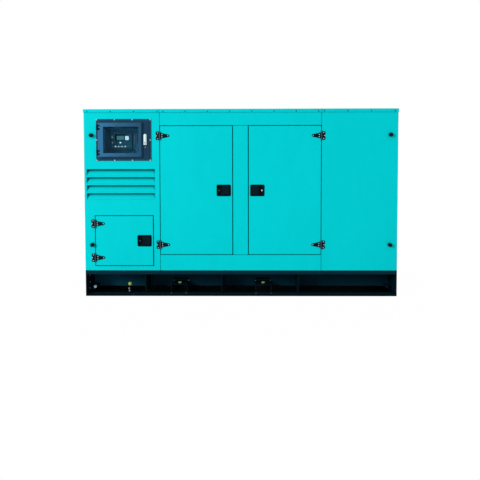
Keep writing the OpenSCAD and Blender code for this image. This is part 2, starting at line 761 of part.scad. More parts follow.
module right_door_lining() color(FOAM_GREY) difference() {
    at_right_door() pan_foam(door_w, door_h, door_t);
    at_right_lock() lock_hole(door_t);
}

module cable_door() color(STEEL_GREEN) difference() {
    at_cable_door() pan(cable_door_w, cable_door_h, door_t);
    at_cable_lock() lock_hole(door_t);
}

module cable_door_lining() color(FOAM_GREY) difference() {
    at_cable_door() pan_foam(cable_door_w, cable_door_h, door_t);
    at_cable_lock() lock_hole(door_t);
}

module rear_doors() color(STEEL_GREEN) mirror([0, 1, 0]) {
    left_door();
    right_door();
}

module rear_hinges() color(FITTING_BLACK) mirror([0, 1, 0]) for (z = big_hinge_zs) {
    translate([left_axis_x, axis_y, z]) {
        hinge_leaf(-1);
        hinge_strap(1);
    }
    translate([right_axis_x, axis_y, z]) {
        hinge_leaf(1);
        hinge_strap(-1);
    }
}

module rear_locks() color(FITTING_BLACK) mirror([0, 1, 0]) {
    at_left_lock() lock();
    at_right_lock() lock();
}

// The control window
module window_flange() color(WINDOW_BLUE) difference() {
    translate([flange_x0, face_y - flange_t, flange_z0])
        upright(flange_t) rounded_plate(flange_w, flange_h, 4);
    translate([recess_x0, face_y - flange_t - 1, recess_z0]) cube([recess_w, flange_t + 2, recess_h]);
}

window_knuckle_h = window_hinge_h / 6;
window_hinge_fixed_w = 9;
window_hinge_moving_w = 20;

module window_hinge_fixed() {
    z_in = window_knuckle_h + knuckle_gap;
    for (s = [-1, 1]) mirror([0, 0, s < 0 ? 1 : 0]) {
        hinge_knuckle(z_in, window_hinge_h / 2, window_knuckle_r);
        translate([-window_hinge_fixed_w, 0, z_in]) cube([window_hinge_fixed_w + window_edge - 2,
            window_axis_out + window_leaf_t + window_gap, window_hinge_h / 2 - z_in]);
    }
    hinge_knuckle(-window_hinge_h / 2, window_hinge_h / 2, pin_r);
}

module window_hinge_moving() difference() {
    plate_x0 = window_knuckle_r + 2;
    plate_x1 = window_edge + window_hinge_moving_w;
    union() {
        hinge_knuckle(-window_knuckle_h, window_knuckle_h, window_knuckle_r);
        translate([0, 0, -window_knuckle_h]) cube([plate_x1, window_axis_out, 2 * window_knuckle_h]);
        translate([plate_x0, window_axis_out - 4, -window_hinge_h / 2])
            cube([plate_x1 - plate_x0, 4, window_hinge_h]);
    }
    hinge_knuckle(-window_knuckle_h - 1, window_knuckle_h + 1, pin_r + pin_play);
}

module glazing_frame() {
    bevel = 9;
    y0 = window_leaf_y - window_leaf_t;
    difference() {
        translate([glazing_x0, y0, glazing_z0]) rotate([90, 0, 0]) {
            linear_extrude(glazing_out - bevel) square([glazing_w, glazing_h]);
            translate([bevel, bevel, 0]) linear_extrude(glazing_out)
                square([glazing_w - 2 * bevel, glazing_h - 2 * bevel]);
        }
        translate([opening_x0, glazing_front_y - 1, opening_z0]) cube([opening_w, glazing_out + 10, opening_h]);
        translate([opening_x0 - glass_rebate, y0 - glass_back, opening_z0 - glass_rebate])
            cube([opening_w + 2 * glass_rebate, glass_back + 1, opening_h + 2 * glass_rebate]);
    }
}

module window_leaf() color(WINDOW_BLUE) {
    difference() {
        translate([flange_x0 + flange_border, window_leaf_y - window_leaf_t, flange_z0 + flange_border])
            upright(window_leaf_t) square([window_leaf_w, window_leaf_h]);
        translate([opening_x0 - glass_rebate, window_leaf_y - window_leaf_t - 1, opening_z0 - glass_rebate])
            cube([opening_w + 2 * glass_rebate, window_leaf_t + 2, opening_h + 2 * glass_rebate]);
    }
    glazing_frame();
    for (z = window_hinge_zs) translate([window_axis_x, window_axis_y, z]) window_hinge_moving();
}

module window_glass() color([0.3, 0.4, 0.45, 0.4])
    translate([opening_x0 - glass_rebate, window_leaf_y - window_leaf_t - glass_back,
        opening_z0 - glass_rebate])
        cube([opening_w + 2 * glass_rebate, glass_t, opening_h + 2 * glass_rebate]);

window_lock_w = 28;
window_lock_r = 12;
window_lock_h = 112;
handle_l = 80;
window_lock_t = 6;
handle_pin_z = window_lock_z + window_lock_h / 2 - 14;
handle_pin_y = window_leaf_y - window_leaf_t - window_lock_t - 6;

module window_lock() color(BARE_STEEL) {
    window_handle();
    y0 = window_leaf_y - window_leaf_t - window_lock_t;
    translate([window_lock_x - window_lock_w / 2, y0, window_lock_z - window_lock_h / 2])
        upright(window_lock_t) rounded_plate(window_lock_w, window_lock_h, window_lock_r);
    for (x = [-window_lock_w / 2 + 2, window_lock_w / 2 - 6])
        translate([window_lock_x + x, y0 - 10, handle_pin_z - 6]) cube([4, 10.5, 12]);
    translate([window_lock_x - window_lock_w / 2 + 2, handle_pin_y, handle_pin_z])
        rotate([0, 90, 0]) cylinder(window_lock_w - 4, r = 2);
}

module window_handle() difference() {
    w = window_lock_w - 14;
    union() {
        translate([window_lock_x - w / 2, handle_pin_y, handle_pin_z])
            rotate([0, 90, 0]) cylinder(w, r = 4.5);
        translate([window_lock_x - w / 2, handle_pin_y - 4.5, handle_pin_z - handle_l]) cube([w, 6, handle_l]);
    }
    translate([window_lock_x - w, handle_pin_y, handle_pin_z])
        rotate([0, 90, 0]) cylinder(2 * w, r = 2 + pin_play);
}

module control_recess() color(FITTING_BLACK) {
    difference() {
        translate([recess_x0 - sheet, face_y + sheet, recess_z0 - sheet])
            cube([recess_w + 2 * sheet, recess_d - sheet, recess_h + 2 * sheet]);
        translate([recess_x0, face_y - 1, recess_z0]) cube([recess_w, recess_d - sheet + 1, recess_h]);
        at_controller() translate([controller_edge, -3 * sheet, controller_edge])
            cube([controller_w - 2 * controller_edge, 6 * sheet, controller_h - 2 * controller_edge]);
    }
}

controller_edge = 11;
controller_front = 12;
controller_body = 34;

module at_controller() translate([recess_x0 + controller_x - controller_w / 2, recess_back_y,
    recess_z0 + (recess_h - controller_h) / 2]) children();

module controller() color(FITTING_BLACK) at_controller() {
    inset = controller_edge + 1;
    translate([0, -sheet - controller_front, 0])
        upright(controller_front) rounded_plate(controller_w, controller_h, controller_edge);
    translate([inset, -sheet, inset])
        cube([controller_w - 2 * inset, controller_body, controller_h - 2 * inset]);
}

// The power unit on its skid
module skid() color(BASE_BLACK) {
    web = 6;
    flange = 8;
    for (s = [0, 1]) mirror([0, s, 0])
        translate([skid_x0, skid_y - skid_w / 2, base_h]) difference() {
            cube([skid_x1 - skid_x0, skid_w, skid_h]);
            translate([-1, web, flange]) cube([skid_x1 - skid_x0 + 2, skid_w, skid_h - 2 * flange]);
        }
}

// A body turned about the shaft: each point is a share of the length and a share of the radius
module turned(l, r, profile) rotate([0, 90, 0]) rotate_extrude()
    polygon(concat([[0, 0]], [for (p = profile) [p[1] * r, p[0] * l]], [[0, l]]));

module alternator() color(MACHINE_GREY) {
    foot_l = alternator_l * 0.68;
    box_w = alternator_r * 1.4;
    translate([alternator_x0, 0, alternator_z]) turned(alternator_l, alternator_r, [
        [0, 0.7], [0.025, 0.79], [0.11, 0.95], [0.125, 1], [0.16, 1], [0.18, 0.96], [0.86, 0.96],
        [0.875, 1], [1, 1]]);
    for (s = [-1, 1]) translate([alternator_x0 + alternator_l * 0.18, s * skid_y - skid_w / 2, skid_top])
        cube([foot_l, skid_w, alternator_z - skid_top - alternator_r * 0.4]);
    translate([alternator_x0 + alternator_l * 0.25, -box_w / 2, alternator_z + alternator_r * 0.86])
        cube([alternator_l * 0.46, box_w, alternator_r * 0.8]);
}

module gearbox() color(MACHINE_GREY) {
    translate([gearbox_x0, -gearbox_w / 2, skid_top]) cube([gearbox_l, gearbox_w, turbine_z - skid_top]);
    translate([gearbox_x0, 0, turbine_z]) rotate([0, 90, 0]) cylinder(gearbox_l, d = gearbox_w);
}

module turbine() color(BARE_STEEL) {
    foot_x = turbine_x0 + turbine_l / 2;
    translate([turbine_x0, 0, turbine_z]) turned(turbine_l, turbine_r, [
        [0, 0.77], [0.02, 0.77], [0.03, 0.5], [0.12, 0.47], [0.17, 0.62], [0.2, 0.85], [0.22, 0.85],
        [0.23, 0.79], [0.33, 0.75], [0.345, 0.83], [0.37, 0.83], [0.395, 0.97], [0.435, 1], [0.62, 1],
        [0.66, 0.95], [0.685, 0.82], [0.71, 0.82], [0.735, 0.7], [0.84, 0.62],
        [0.92, duct_r / turbine_r], [0.925, duct_r / turbine_r + 0.09], [1, duct_r / turbine_r + 0.09]]);
    for (s = [-1, 1]) translate([foot_x, s * skid_y - skid_w / 2, skid_top])
        cube([skid_w, skid_w, turbine_z - skid_top - turbine_r * 0.37]);
}

module silencer() color(MACHINE_GREY) {
    translate([turbine_x1, 0, turbine_z]) rotate([0, 90, 0]) cylinder(duct_l + 1, r = duct_r);
    translate([silencer_x0, -silencer_w / 2, base_h]) cube([silencer_x1 - silencer_x0, silencer_w, silencer_h]);
}

deck();
foot_rails();
gussets();
base_end_plates();
tank();
base_pan();
fork_pockets();
tank_stubs();
earth_stud();
yellow_caps();
left_panel();
right_panel();
headers();
sill_panels();
center_posts();
doorway_frames();
rear_panels();
left_end_panel();
right_end_panel();
side_louvres();
outlet_louvres();
wall_linings();
roof();
corner_knobs();
hinge_leaves();
left_door();
left_door_lining();
left_door_straps();
left_lock();
right_door();
right_door_lining();
right_door_straps();
right_lock();
cable_door();
cable_door_lining();
cable_door_straps();
cable_lock();
rear_doors();
rear_hinges();
rear_locks();
window_flange();
window_leaf();
window_glass();
window_lock();
control_recess();
controller();
skid();
alternator();
gearbox();
turbine();
silencer();
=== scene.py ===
import json
import math
import random

import bmesh
import bpy
from mathutils import Matrix, Vector


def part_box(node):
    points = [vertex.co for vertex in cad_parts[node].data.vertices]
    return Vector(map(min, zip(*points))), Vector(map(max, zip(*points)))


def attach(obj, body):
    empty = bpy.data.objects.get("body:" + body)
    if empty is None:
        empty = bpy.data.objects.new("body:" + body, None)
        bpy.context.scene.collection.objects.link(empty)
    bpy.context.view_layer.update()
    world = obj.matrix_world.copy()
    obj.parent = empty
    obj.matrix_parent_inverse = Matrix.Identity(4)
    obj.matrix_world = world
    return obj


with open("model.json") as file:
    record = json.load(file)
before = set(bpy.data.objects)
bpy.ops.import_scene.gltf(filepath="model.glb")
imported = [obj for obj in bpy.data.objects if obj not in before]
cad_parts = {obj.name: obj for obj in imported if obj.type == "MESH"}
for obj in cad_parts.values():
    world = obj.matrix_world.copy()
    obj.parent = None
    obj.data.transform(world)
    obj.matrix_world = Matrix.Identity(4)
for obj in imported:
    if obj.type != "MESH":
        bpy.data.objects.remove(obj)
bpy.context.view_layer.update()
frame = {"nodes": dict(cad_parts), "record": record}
cadNodes = frame["nodes"]
mm = 0.001
sharpAngle = math.radians(35)
print("stage: frame loaded")


# mesh helpers: every shape is drawn in place, in metres

def block(bm, low, high, edge=0.0):  # a box between two corners, with rounded edges
    made = bmesh.ops.create_cube(bm, size=1.0)["verts"]
    bmesh.ops.scale(bm, vec=[h - l for l, h in zip(low, high)], verts=made)
    bmesh.ops.translate(bm, vec=[(l + h) / 2 for l, h in zip(low, high)], verts=made)
    if edge:
        edges = list({e for v in made for e in v.link_edges})
        bmesh.ops.bevel(bm, geom=edges, offset=edge, segments=2, affect="EDGES", profile=0.6)


def blockAt(bm, centre, half, edge=0.0):  # the same box from its middle and its half sizes
    block(bm, [c - h for c, h in zip(centre, half)], [c + h for c, h in zip(centre, half)], edge)


def ringOf(bm, centre, side, up, radius, steps):  # vertices round a centre
    angles = [2 * math.pi * i / steps for i in range(steps)]
    return [bm.verts.new(centre + (side * math.cos(t) + up * math.sin(t)) * radius) for t in angles]


def skinned(bm, rings, closed=False):  # faces between successive rings with as many vertices
    for first, second in zip(rings, rings[1:] + rings[:1] if closed else rings[1:]):
        for i in range(len(first)):
            j = (i + 1) % len(first)
            bm.faces.new((first[i], first[j], second[j], second[i]))


def turned(bm, profile, place, along, steps=20):  # (radius, reach) points turned about an axis
    along = Vector(along).normalized()
    side = along.orthogonal().normalized()
    up = along.cross(side)
    rings = [ringOf(bm, Vector(place) + along * reach, side, up, radius, steps if radius else 1)
             for radius, reach in profile]
    for first, second in zip(rings, rings[1:]):
        for i in range(steps):
            j = (i + 1) % steps
            corners = []
            for ring, k in ((first, i), (first, j), (second, j), (second, i)):
                vert = ring[k % len(ring)]
                if vert not in corners:
                    corners.append(vert)
            if len(corners) > 2:
                bm.faces.new(corners)


def inMm(points):  # a profile given in millimetres
    return [(radius * mm, reach * mm) for radius, reach in points]


def framed(bm, x0, x1, z0, z1, section):  # a closed section of (inward, y) points led round a rectangle
    corners = [(x0, z0, 1, 1), (x1, z0, -1, 1), (x1, z1, -1, -1), (x0, z1, 1, -1)]
    rings = [[bm.verts.new((x + sx * s, y, z + sz * s)) for s, y in section] for x, z, sx, sz in corners]
    skinned(bm, rings, True)


def plate(bm, outline, y0, y1, edge):  # an outline of (x, z) points from y0, rounded there, back to y1
    front = [bm.verts.new((x, y0, z)) for x, z in outline]
    back = [bm.verts.new((x, y1, z)) for x, z in outline]
    face = bm.faces.new(front)
    bm.faces.new(back[::-1])
    skinned(bm, [back, front])
    bmesh.ops.bevel(bm, geom=list(face.edges), offset=edge, segments=2, affect="EDGES", profile=0.6)


def roundedOutline(x0, x1, z0, z1, radius, steps):
    points = []
    for cx, cz, start in ((x1 - radius, z1 - radius, 0), (x0 + radius, z1 - radius, 90),
                          (x0 + radius, z0 + radius, 180), (x1 - radius, z0 + radius, 270)):
        for i in range(steps + 1):
            t = math.radians(start + 90 * i / steps)
            points.append((cx + radius * math.cos(t), cz + radius * math.sin(t)))
    return points


def insetOutline(low, high, inset, radius, steps):  # a rounded outline inside a box's front
    return roundedOutline(low.x + inset, high.x - inset, low.z + inset, high.z - inset, radius, steps)


def swept(bm, points, radius, steps, between=8):  # a rigid pipe through points, its bends smoothed
    path = []
    ends = [points[0]] + list(points) + [points[-1]]
    for a, b, c, d in zip(ends, ends[1:], ends[2:], ends[3:]):
        a, b, c, d = map(Vector, (a, b, c, d))
        for i in range(between):
            t = i / between
            path.append(0.5 * (2 * b + (c - a) * t + (2 * a - 5 * b + 4 * c - d) * t * t
                               + (3 * b - a - 3 * c + d) * t ** 3))
    path.append(Vector(points[-1]))
    side = (path[1] - path[0]).orthogonal().normalized()
    rings = []
    for i, point in enumerate(path):
        along = (path[min(i + 1, len(path) - 1)] - path[max(i - 1, 0)]).normalized()
        side = (side - along * side.dot(along)).normalized()
        rings.append(ringOf(bm, point, side, along.cross(side), radius, steps))
    skinned(bm, rings)
    bm.faces.new(rings[0][::-1])
    bm.faces.new(rings[-1])


def panHead(bm, place, along, radius, rise):  # a domed screw with a socket
    shares = ((0, 0.45), (0.4, 0.45), (0.45, 0.95), (0.7, 0.9), (0.92, 0.55), (1, 0), (0, -0.2))
    turned(bm, [(radius * r, rise * h) for r, h in shares], place, along, 16)


def hexBolt(bm, place, along, radius, rise, washer=1.4):  # a hexagon head on a washer
    head = ((0, 1), (0.8, 1), (1, 0.86), (1, 0.2), (0, 0.2))
    disc = ((0, 0.22), (washer, 0.22), (washer, 0), (0, -0.1))
    for shares, steps in ((head, 6), (disc, 18)):
        turned(bm, [(radius * r, rise * h) for r, h in shares], place, along, steps)


def piece(name, bm, finish, body):  # puts a finished mesh on its body
    bmesh.ops.recalc_face_normals(bm, faces=bm.faces)
    mesh = bpy.data.meshes.new(name)
    bm.to_mesh(mesh)
    bm.free()
    mesh.shade_smooth()
    mesh.set_sharp_from_angle(angle=sharpAngle)
    made = bpy.data.objects.new(name, mesh)
    bpy.context.collection.objects.link(made)
    mesh.materials.append(materials[finish])
    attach(made, body)


# node helpers and shared surface effects

def newGroup(name, inputs, outputs):  # a group with its input and output sockets; a tuple is a vector
    group = bpy.data.node_groups.new(name, "ShaderNodeTree")
    for label, value in inputs.items():
        kind = "NodeSocketVector" if isinstance(value, tuple) else "NodeSocketFloat"
        group.interface.new_socket(name=label, in_out="INPUT", socket_type=kind).default_value = value
    for label in outputs:
        kind = "NodeSocketVector" if label == "Normal" else "NodeSocketFloat"
        group.interface.new_socket(name=label, in_out="OUTPUT", socket_type=kind)
    return group, group.nodes.new("NodeGroupInput").outputs, group.nodes.new("NodeGroupOutput").inputs


def addNode(tree, kind, **settings):  # a node, with its settings and its sockets' values or links
    node = tree.nodes.new("ShaderNode" + kind)
    links = settings.pop("links", {})
    values = settings.pop("values", {})
    for key, value in settings.items():
        setattr(node, key, value)
    for key, value in values.items():
        node.inputs[key].default_value = value
    for key, source in links.items():
        tree.links.new(source, node.inputs[key])
    return node


def calc(tree, operation, first, second=None, third=None, clamp=False):  # a Math node from numbers or sockets
    node = tree.nodes.new("ShaderNodeMath")
    node.operation = operation
    node.use_clamp = clamp
    for index, value in enumerate((first, second, third)):
        if value is None:
            continue
        if isinstance(value, (int, float)):
            node.inputs[index].default_value = value
        else:
            tree.links.new(value, node.inputs[index])
    return node.outputs[0]


def remap(tree, value, low, high, toLow=0.0, toHigh=1.0):
    return addNode(tree, "MapRange", links={"Value": value}, values={
        "From Min": low, "From Max": high, "To Min": toLow, "To Max": toHigh}).outputs["Result"]


def placeOn(tree, axis=None):  # the place on the object, or one axis of it
    place = addNode(tree, "TexCoord").outputs["Object"]
    return place if axis is None else addNode(tree, "SeparateXYZ", links={0: place}).outputs[axis]


def noiseAt(tree, place, scale, detail, roughness=0.5):  # noise whose scale is a number or a socket
    values = {"Detail": detail, "Roughness": roughness}
    node = addNode(tree, "TexNoise", links={"Vector": place}, values=values)
    if isinstance(scale, float):
        node.inputs["Scale"].default_value = scale
    else:
        tree.links.new(scale, node.inputs["Scale"])
    return node.outputs["Fac"]


def buildMottle():  # broad and fine patches, which can be drawn out along an axis
    group, given, out = newGroup("mottle", {"Scale": 3.0, "Stretch": (1, 1, 1), "Contrast": 1.0},
                                 ("Broad", "Fine"))
    drawn = addNode(group, "VectorMath", operation="MULTIPLY", links={0: placeOn(group), 1: given["Stretch"]})
    for label, factor, detail in (("Broad", 1.0, 3.0), ("Fine", 9.0, 5.0)):
        noise = noiseAt(group, drawn.outputs[0], calc(group, "MULTIPLY", given["Scale"], factor), detail)
        centred = calc(group, "SUBTRACT", noise, 0.5)
        group.links.new(calc(group, "MULTIPLY_ADD", centred, given["Contrast"], 0.5, clamp=True), out[label])
    return group


def buildEdgeWear():  # a mask that is light along a solid's edges, for wear and a painted highlight, and a normal that rounds them
    group, given, out = newGroup("edgeWear", {"Radius": 0.003, "Amount": 1.0}, ("Mask", "Normal"))
    rounded = addNode(group, "Bevel", samples=4, links={"Radius": given["Radius"]}).outputs["Normal"]
    flat = addNode(group, "NewGeometry").outputs["Normal"]
    facing = addNode(group, "VectorMath", operation="DOT_PRODUCT", links={0: rounded, 1: flat})
    bend = remap(group, facing.outputs["Value"], 1.0, 0.85)
    broken = remap(group, noiseAt(group, placeOn(group), 60.0, 4.0), 0.35, 0.65, 0.35, 1.0)
    scaled = calc(group, "MULTIPLY", calc(group, "MULTIPLY", bend, broken), given["Amount"], clamp=True)
    group.links.new(scaled, out["Mask"])
    group.links.new(rounded, out["Normal"])
    return group


def buildDust():  # dust on ledges and towards the ground
    group, given, out = newGroup("dust", {"Ledges": 0.5, "Low": 0.4, "Reach": 0.35}, ("Mask",))
    normal = addNode(group, "NewGeometry").outputs["Normal"]
    up = addNode(group, "SeparateXYZ", links={0: normal}).outputs["Z"]
    ledge = calc(group, "MULTIPLY", remap(group, up, 0.3, 0.95), given["Ledges"])
    height = calc(group, "DIVIDE", placeOn(group, "Z"), given["Reach"])
    near = calc(group, "SUBTRACT", 1.0, height, clamp=True)
    low = calc(group, "MULTIPLY", calc(group, "POWER", near, 1.6), given["Low"])
    patches = remap(group, noiseAt(group, placeOn(group), 14.0, 6.0, 0.65), 0.35, 0.7)
    dust = calc(group, "MULTIPLY", calc(group, "ADD", ledge, low), patches, clamp=True)
    group.links.new(dust, out["Mask"])
    return group


def buildSkin():  # the height of a sprayed or cast skin, from coarse waves and a fine grain
    group, given, out = newGroup("skin", {"Waves": 120.0, "Grain": 900.0, "Grain Share": 0.3}, ("Height",))
    waves, grain = [noiseAt(group, placeOn(group), given[label], 2.0) for label in ("Waves", "Grain")]
    group.links.new(calc(group, "MULTIPLY_ADD", grain, given["Grain Share"], waves), out["Height"])
    return group


def buildBrushed():  # fine lines along an axis, for brushed, rolled or turned metal
    group, given, out = newGroup("brushed", {"Stretch": (4, 400, 400), "Strength": 1.0}, ("Lines",))
    drawn = addNode(group, "VectorMath", operation="MULTIPLY", links={0: placeOn(group), 1: given["Stretch"]})
    centred = calc(group, "SUBTRACT", noiseAt(group, drawn.outputs[0], 1.0, 4.0), 0.5)
    group.links.new(calc(group, "MULTIPLY_ADD", centred, given["Strength"], 0.5, clamp=True), out["Lines"])
    return group


def buildPerforated():  # rows of round holes on the X-Z and Y-Z faces
    group, given, out = newGroup("perforated", {"Pitch": 0.012, "Hole": 0.3}, ("Holes",))
    across = calc(group, "ADD", placeOn(group, "X"), placeOn(group, "Y"))
    row = calc(group, "DIVIDE", placeOn(group, "Z"), given["Pitch"])
    shift = calc(group, "MULTIPLY", calc(group, "MODULO", calc(group, "FLOOR", row), 2.0), 0.5)
    column = calc(group, "ADD", calc(group, "DIVIDE", across, given["Pitch"]), shift)
    dx, dz = [calc(group, "SUBTRACT", calc(group, "FRACT", value), 0.5) for value in (column, row)]
    squares = calc(group, "ADD", calc(group, "MULTIPLY", dx, dx), calc(group, "MULTIPLY", dz, dz))
    group.links.new(calc(group, "LESS_THAN", calc(group, "SQRT", squares), given["Hole"]), out["Holes"])
    return group


def buildCrevices():  # a mask for the painted shade in folds and slots, where little open sky reaches
    group, given, out = newGroup("crevices", {"Distance": 0.04, "Open": 0.9}, ("Mask",))
    sky = addNode(group, "AmbientOcclusion", samples=8, links={"Distance": given["Distance"]}).outputs["AO"]
    spread = calc(group, "DIVIDE", sky, given["Open"])
    group.links.new(remap(group, spread, 0.45, 0.95, 1.0, 0.0), out["Mask"])
    return group


groups = {"mottle": buildMottle(), "crevices": buildCrevices(), "edgeWear": buildEdgeWear(),
          "dust": buildDust(), "skin": buildSkin(), "brushed": buildBrushed(),
          "perforated": buildPerforated()}
print("stage: surface effects built")


# materials

def newMaterial(name, **fixed):  # a Principled shader with fixed values on its own sockets
    material = bpy.data.materials.new(name)
    material.use_nodes = True
    tree = material.node_tree
    shader = next(n for n in tree.nodes if n.type == "BSDF_PRINCIPLED")
    for label, value in fixed.items():
        shader.inputs[label.replace("_", " ")].default_value = value
    return material, tree, shader


def effect(tree, name, **values):  # one of the shared groups, with this material's values
    node = tree.nodes.new("ShaderNodeGroup")
    node.node_tree = groups[name]
    for label, value in values.items():
        node.inputs[label.replace("_", " ")].default_value = value
    return node.outputs


def mixed(tree, share, first, second):  # a colour between two, each a colour or a socket
    node = addNode(tree, "Mix", data_type="RGBA")
    for index, value in ((0, share), (6, first), (7, second)):
        if isinstance(value, (int, float)):
            node.inputs[index].default_value = value
        elif isinstance(value, tuple):
            node.inputs[index].default_value = (*value, 1.0)
        else:
            tree.links.new(value, node.inputs[index])
    return node.outputs[2]


def bumped(tree, shader, height, strength, distance, normal=None):
    values = {"Strength": strength, "Distance": distance}
    bump = addNode(tree, "Bump", links={"Height": height}, values=values)
    if normal is not None:
        tree.links.new(normal, bump.inputs["Normal"])
    tree.links.new(bump.outputs["Normal"], shader.inputs["Normal"])


def patchyRough(tree, mottle, rough):  # a roughness that follows the fine patches
    return remap(tree, mottle["Fine"], 0.2, 0.8, *rough)


def paintMaterial(name, look):  # sprayed or powder-coated steel
    material, tree, shader = newMaterial(name, Specular_IOR_Level=look["gloss"], Metallic=0.0)
    mottle = effect(tree, "mottle", Scale=look["patch"], Stretch=look["stretch"], Contrast=1.6)
    wornLitEdges = effect(tree, "edgeWear", Radius=look["round"], Amount=look["edges"])
    dust = effect(tree, "dust", Ledges=look["ledges"], Low=look["low"], Reach=look["reach"])["Mask"]
    tone = mixed(tree, mottle["Broad"], look["deep"], look["light"])
    tone = mixed(tree, remap(tree, mottle["Fine"], 0.3, 0.8, 0.0, look["speckle"]), tone, look["fleck"])
    # lighter edges: wear and a painted highlight
    tone = mixed(tree, wornLitEdges["Mask"], tone, look["edge"])
    tone = mixed(tree, dust, tone, look["dust"])
    # painted shade: darker in folds, slots and louvres
    if "crevice" in look:
        shadedFolds = effect(tree, "crevices", Distance=look["depth"], Open=0.85)["Mask"]
        tone = mixed(tree, shadedFolds, tone, look["crevice"])
    if "shade" in look:  # painted shade: near black along the bottom, where the steel meets the ground
        tone = mixed(tree, remap(tree, placeOn(tree, "Z"), *look["shade"]), look["shadeTone"], tone)
    for axis, start, end, litShadeTone in look.get("zones", ()):  # painted light and shade fading in along one axis across a piece
        tone = mixed(tree, remap(tree, placeOn(tree, axis), start, end), tone, litShadeTone)
    tree.links.new(tone, shader.inputs["Base Color"])
    dulled = calc(tree, "MULTIPLY_ADD", dust, 0.35, patchyRough(tree, mottle, look["rough"]), clamp=True)
    tree.links.new(dulled, shader.inputs["Roughness"])
    skin = effect(tree, "skin", Waves=look["waves"], Grain=look["grain"], Grain_Share=0.35)
    bumped(tree, shader, skin["Height"], look["bump"], 0.0006, wornLitEdges["Normal"])
    return material


paintCommon = {"stretch": (1, 1, 1), "ledges": 0.1, "low": 0.0, "reach": 0.3}
paintLooks = {
    "canopyPaint": {"deep": (0.0, 0.575, 0.615), "light": (0.0, 0.64, 0.68), "fleck": (0.0, 0.68, 0.71),
                    "edge": (0.0, 0.74, 0.77), "dust": (0.03, 0.6, 0.61), "gloss": 0.02, "patch": 1.3,
                    "stretch": (1.0, 1.0, 0.45), "speckle": 0.22, "edges": 0.3, "round": 0.006,
                    # painted shade: the dark tone and depth below darken the louvres and seams
                    "ledges": 0.12, "low": 0.05, "reach": 0.45, "crevice": (0.0, 0.12, 0.135), "depth": 0.08,
                    "rough": (0.42, 0.54), "waves": 160.0, "grain": 1100.0, "bump": 0.18},
    "basePaint": {"deep": (0.0006, 0.0175, 0.031), "light": (0.0014, 0.024, 0.041),
                  "fleck": (0.004, 0.032, 0.05), "edge": (0.006, 0.045, 0.065), "dust": (0.012, 0.03, 0.042),
                  "gloss": 0.03, "patch": 4.0, "speckle": 0.3, "edges": 0.2, "round": 0.004, "reach": 0.16,
                  # painted shade along the bottom of the base
                  "shade": (0.0164, 0.0178), "shadeTone": (0.0001, 0.0006, 0.001),
                  "rough": (0.45, 0.6), "waves": 90.0, "grain": 700.0, "bump": 0.3},
    "blackFittings": {"deep": (0.0003, 0.0055, 0.0105), "light": (0.001, 0.0095, 0.0165),
                      "fleck": (0.003, 0.016, 0.024), "edge": (0.006, 0.04, 0.055),
                      "dust": (0.006, 0.028, 0.036), "gloss": 0.05, "patch": 12.0, "speckle": 0.25,
                      "edges": 0.4, "round": 0.002, "low": 0.02, "reach": 0.4, "rough": (0.32, 0.48),
                      "waves": 260.0, "grain": 1600.0, "bump": 0.25},
    "windowPaint": {"deep": (0.010, 0.062, 0.130), "light": (0.020, 0.096, 0.185),
                    "fleck": (0.035, 0.125, 0.22), "edge": (0.06, 0.17, 0.27), "dust": (0.06, 0.13, 0.18),
                    "gloss": 0.08, "patch": 7.0,
                    "stretch": (0.6, 1.0, 1.0), "speckle": 0.5, "edges": 0.7, "round": 0.0025, "ledges": 0.2,
                    "rough": (0.34, 0.5), "waves": 220.0, "grain": 1300.0, "bump": 0.22},
    # painted light: a pale navy that brightens the shaded recess and its ribs
    "recessPaint": {"deep": (0.006, 0.1, 0.2), "light": (0.012, 0.16, 0.3), "fleck": (0.02, 0.2, 0.36),
                    "edge": (0.04, 0.28, 0.45), "dust": (0.04, 0.2, 0.32), "gloss": 0.03, "patch": 9.0,
                    "speckle": 0.4, "edges": 0.5, "round": 0.002, "rough": (0.4, 0.55), "waves": 240.0,
                    "grain": 1400.0, "bump": 0.2},
    "machineGrey": {"deep": (0.13, 0.155, 0.175), "light": (0.19, 0.215, 0.235), "fleck": (0.28, 0.3, 0.31),
                    "edge": (0.42, 0.43, 0.43), "dust": (0.2, 0.19, 0.17), "gloss": 0.35, "patch": 6.0,
                    "speckle": 0.35, "edges": 0.5, "round": 0.004, "ledges": 0.35, "rough": (0.4, 0.58),
                    "waves": 70.0, "grain": 420.0, "bump": 0.5},
}


def toned(look, factor):  # the same finish, lighter or darker, as painted light and painted shade
    tones = ("deep", "light", "fleck", "edge", "dust")
    return {key: tuple(c * factor for c in value) if key in tones else value for key, value in look.items()}


def leafLitShadeZones():  # painted light on the leaf's hinge side, painted shade on its lock side and its rims, as shares of the flange
    zones = (("X", 0.435, 0.075, (0.028, 0.15, 0.31)), ("X", 0.435, 0.8, (0.0135, 0.071, 0.142)),
             ("X", 0.838, 0.851, (0.0065, 0.037, 0.076)), ("Z", 0.903, 0.918, (0.008, 0.043, 0.085)),
             ("Z", 0.107, 0.087, (0.008, 0.043, 0.085)))
    low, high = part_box("window_flange")
    origin = cadNodes["window_leaf"].matrix_world.translation
    placed = []
    for axis, start, end, tone in zones:
        k = "XYZ".index(axis)
        span = high[k] - low[k]
        placed.append((axis, low[k] + start * span - origin[k], low[k] + end * span - origin[k], tone))
    return placed


# lit and shaded copies: painted shade on the struts, gussets, pockets, end plates, welds, feet and window
# flange; painted light on the window leaf
for name, source, factor in (("tankPaint", "basePaint", 1.05), ("strutPaint", "basePaint", 0.4),
                             ("footPaint", "basePaint", 0.7), ("flangePaint", "windowPaint", 0.6),
                             ("leafPaint", "windowPaint", 1.2)):
    paintLooks[name] = toned(paintLooks[source], factor)
paintLooks["leafPaint"]["zones"] = leafLitShadeZones()
paintLooks["tankPaint"]["zones"] = [("X", -0.9, -1.3, (0.0028, 0.053, 0.092))]  # painted light, paler near the left end
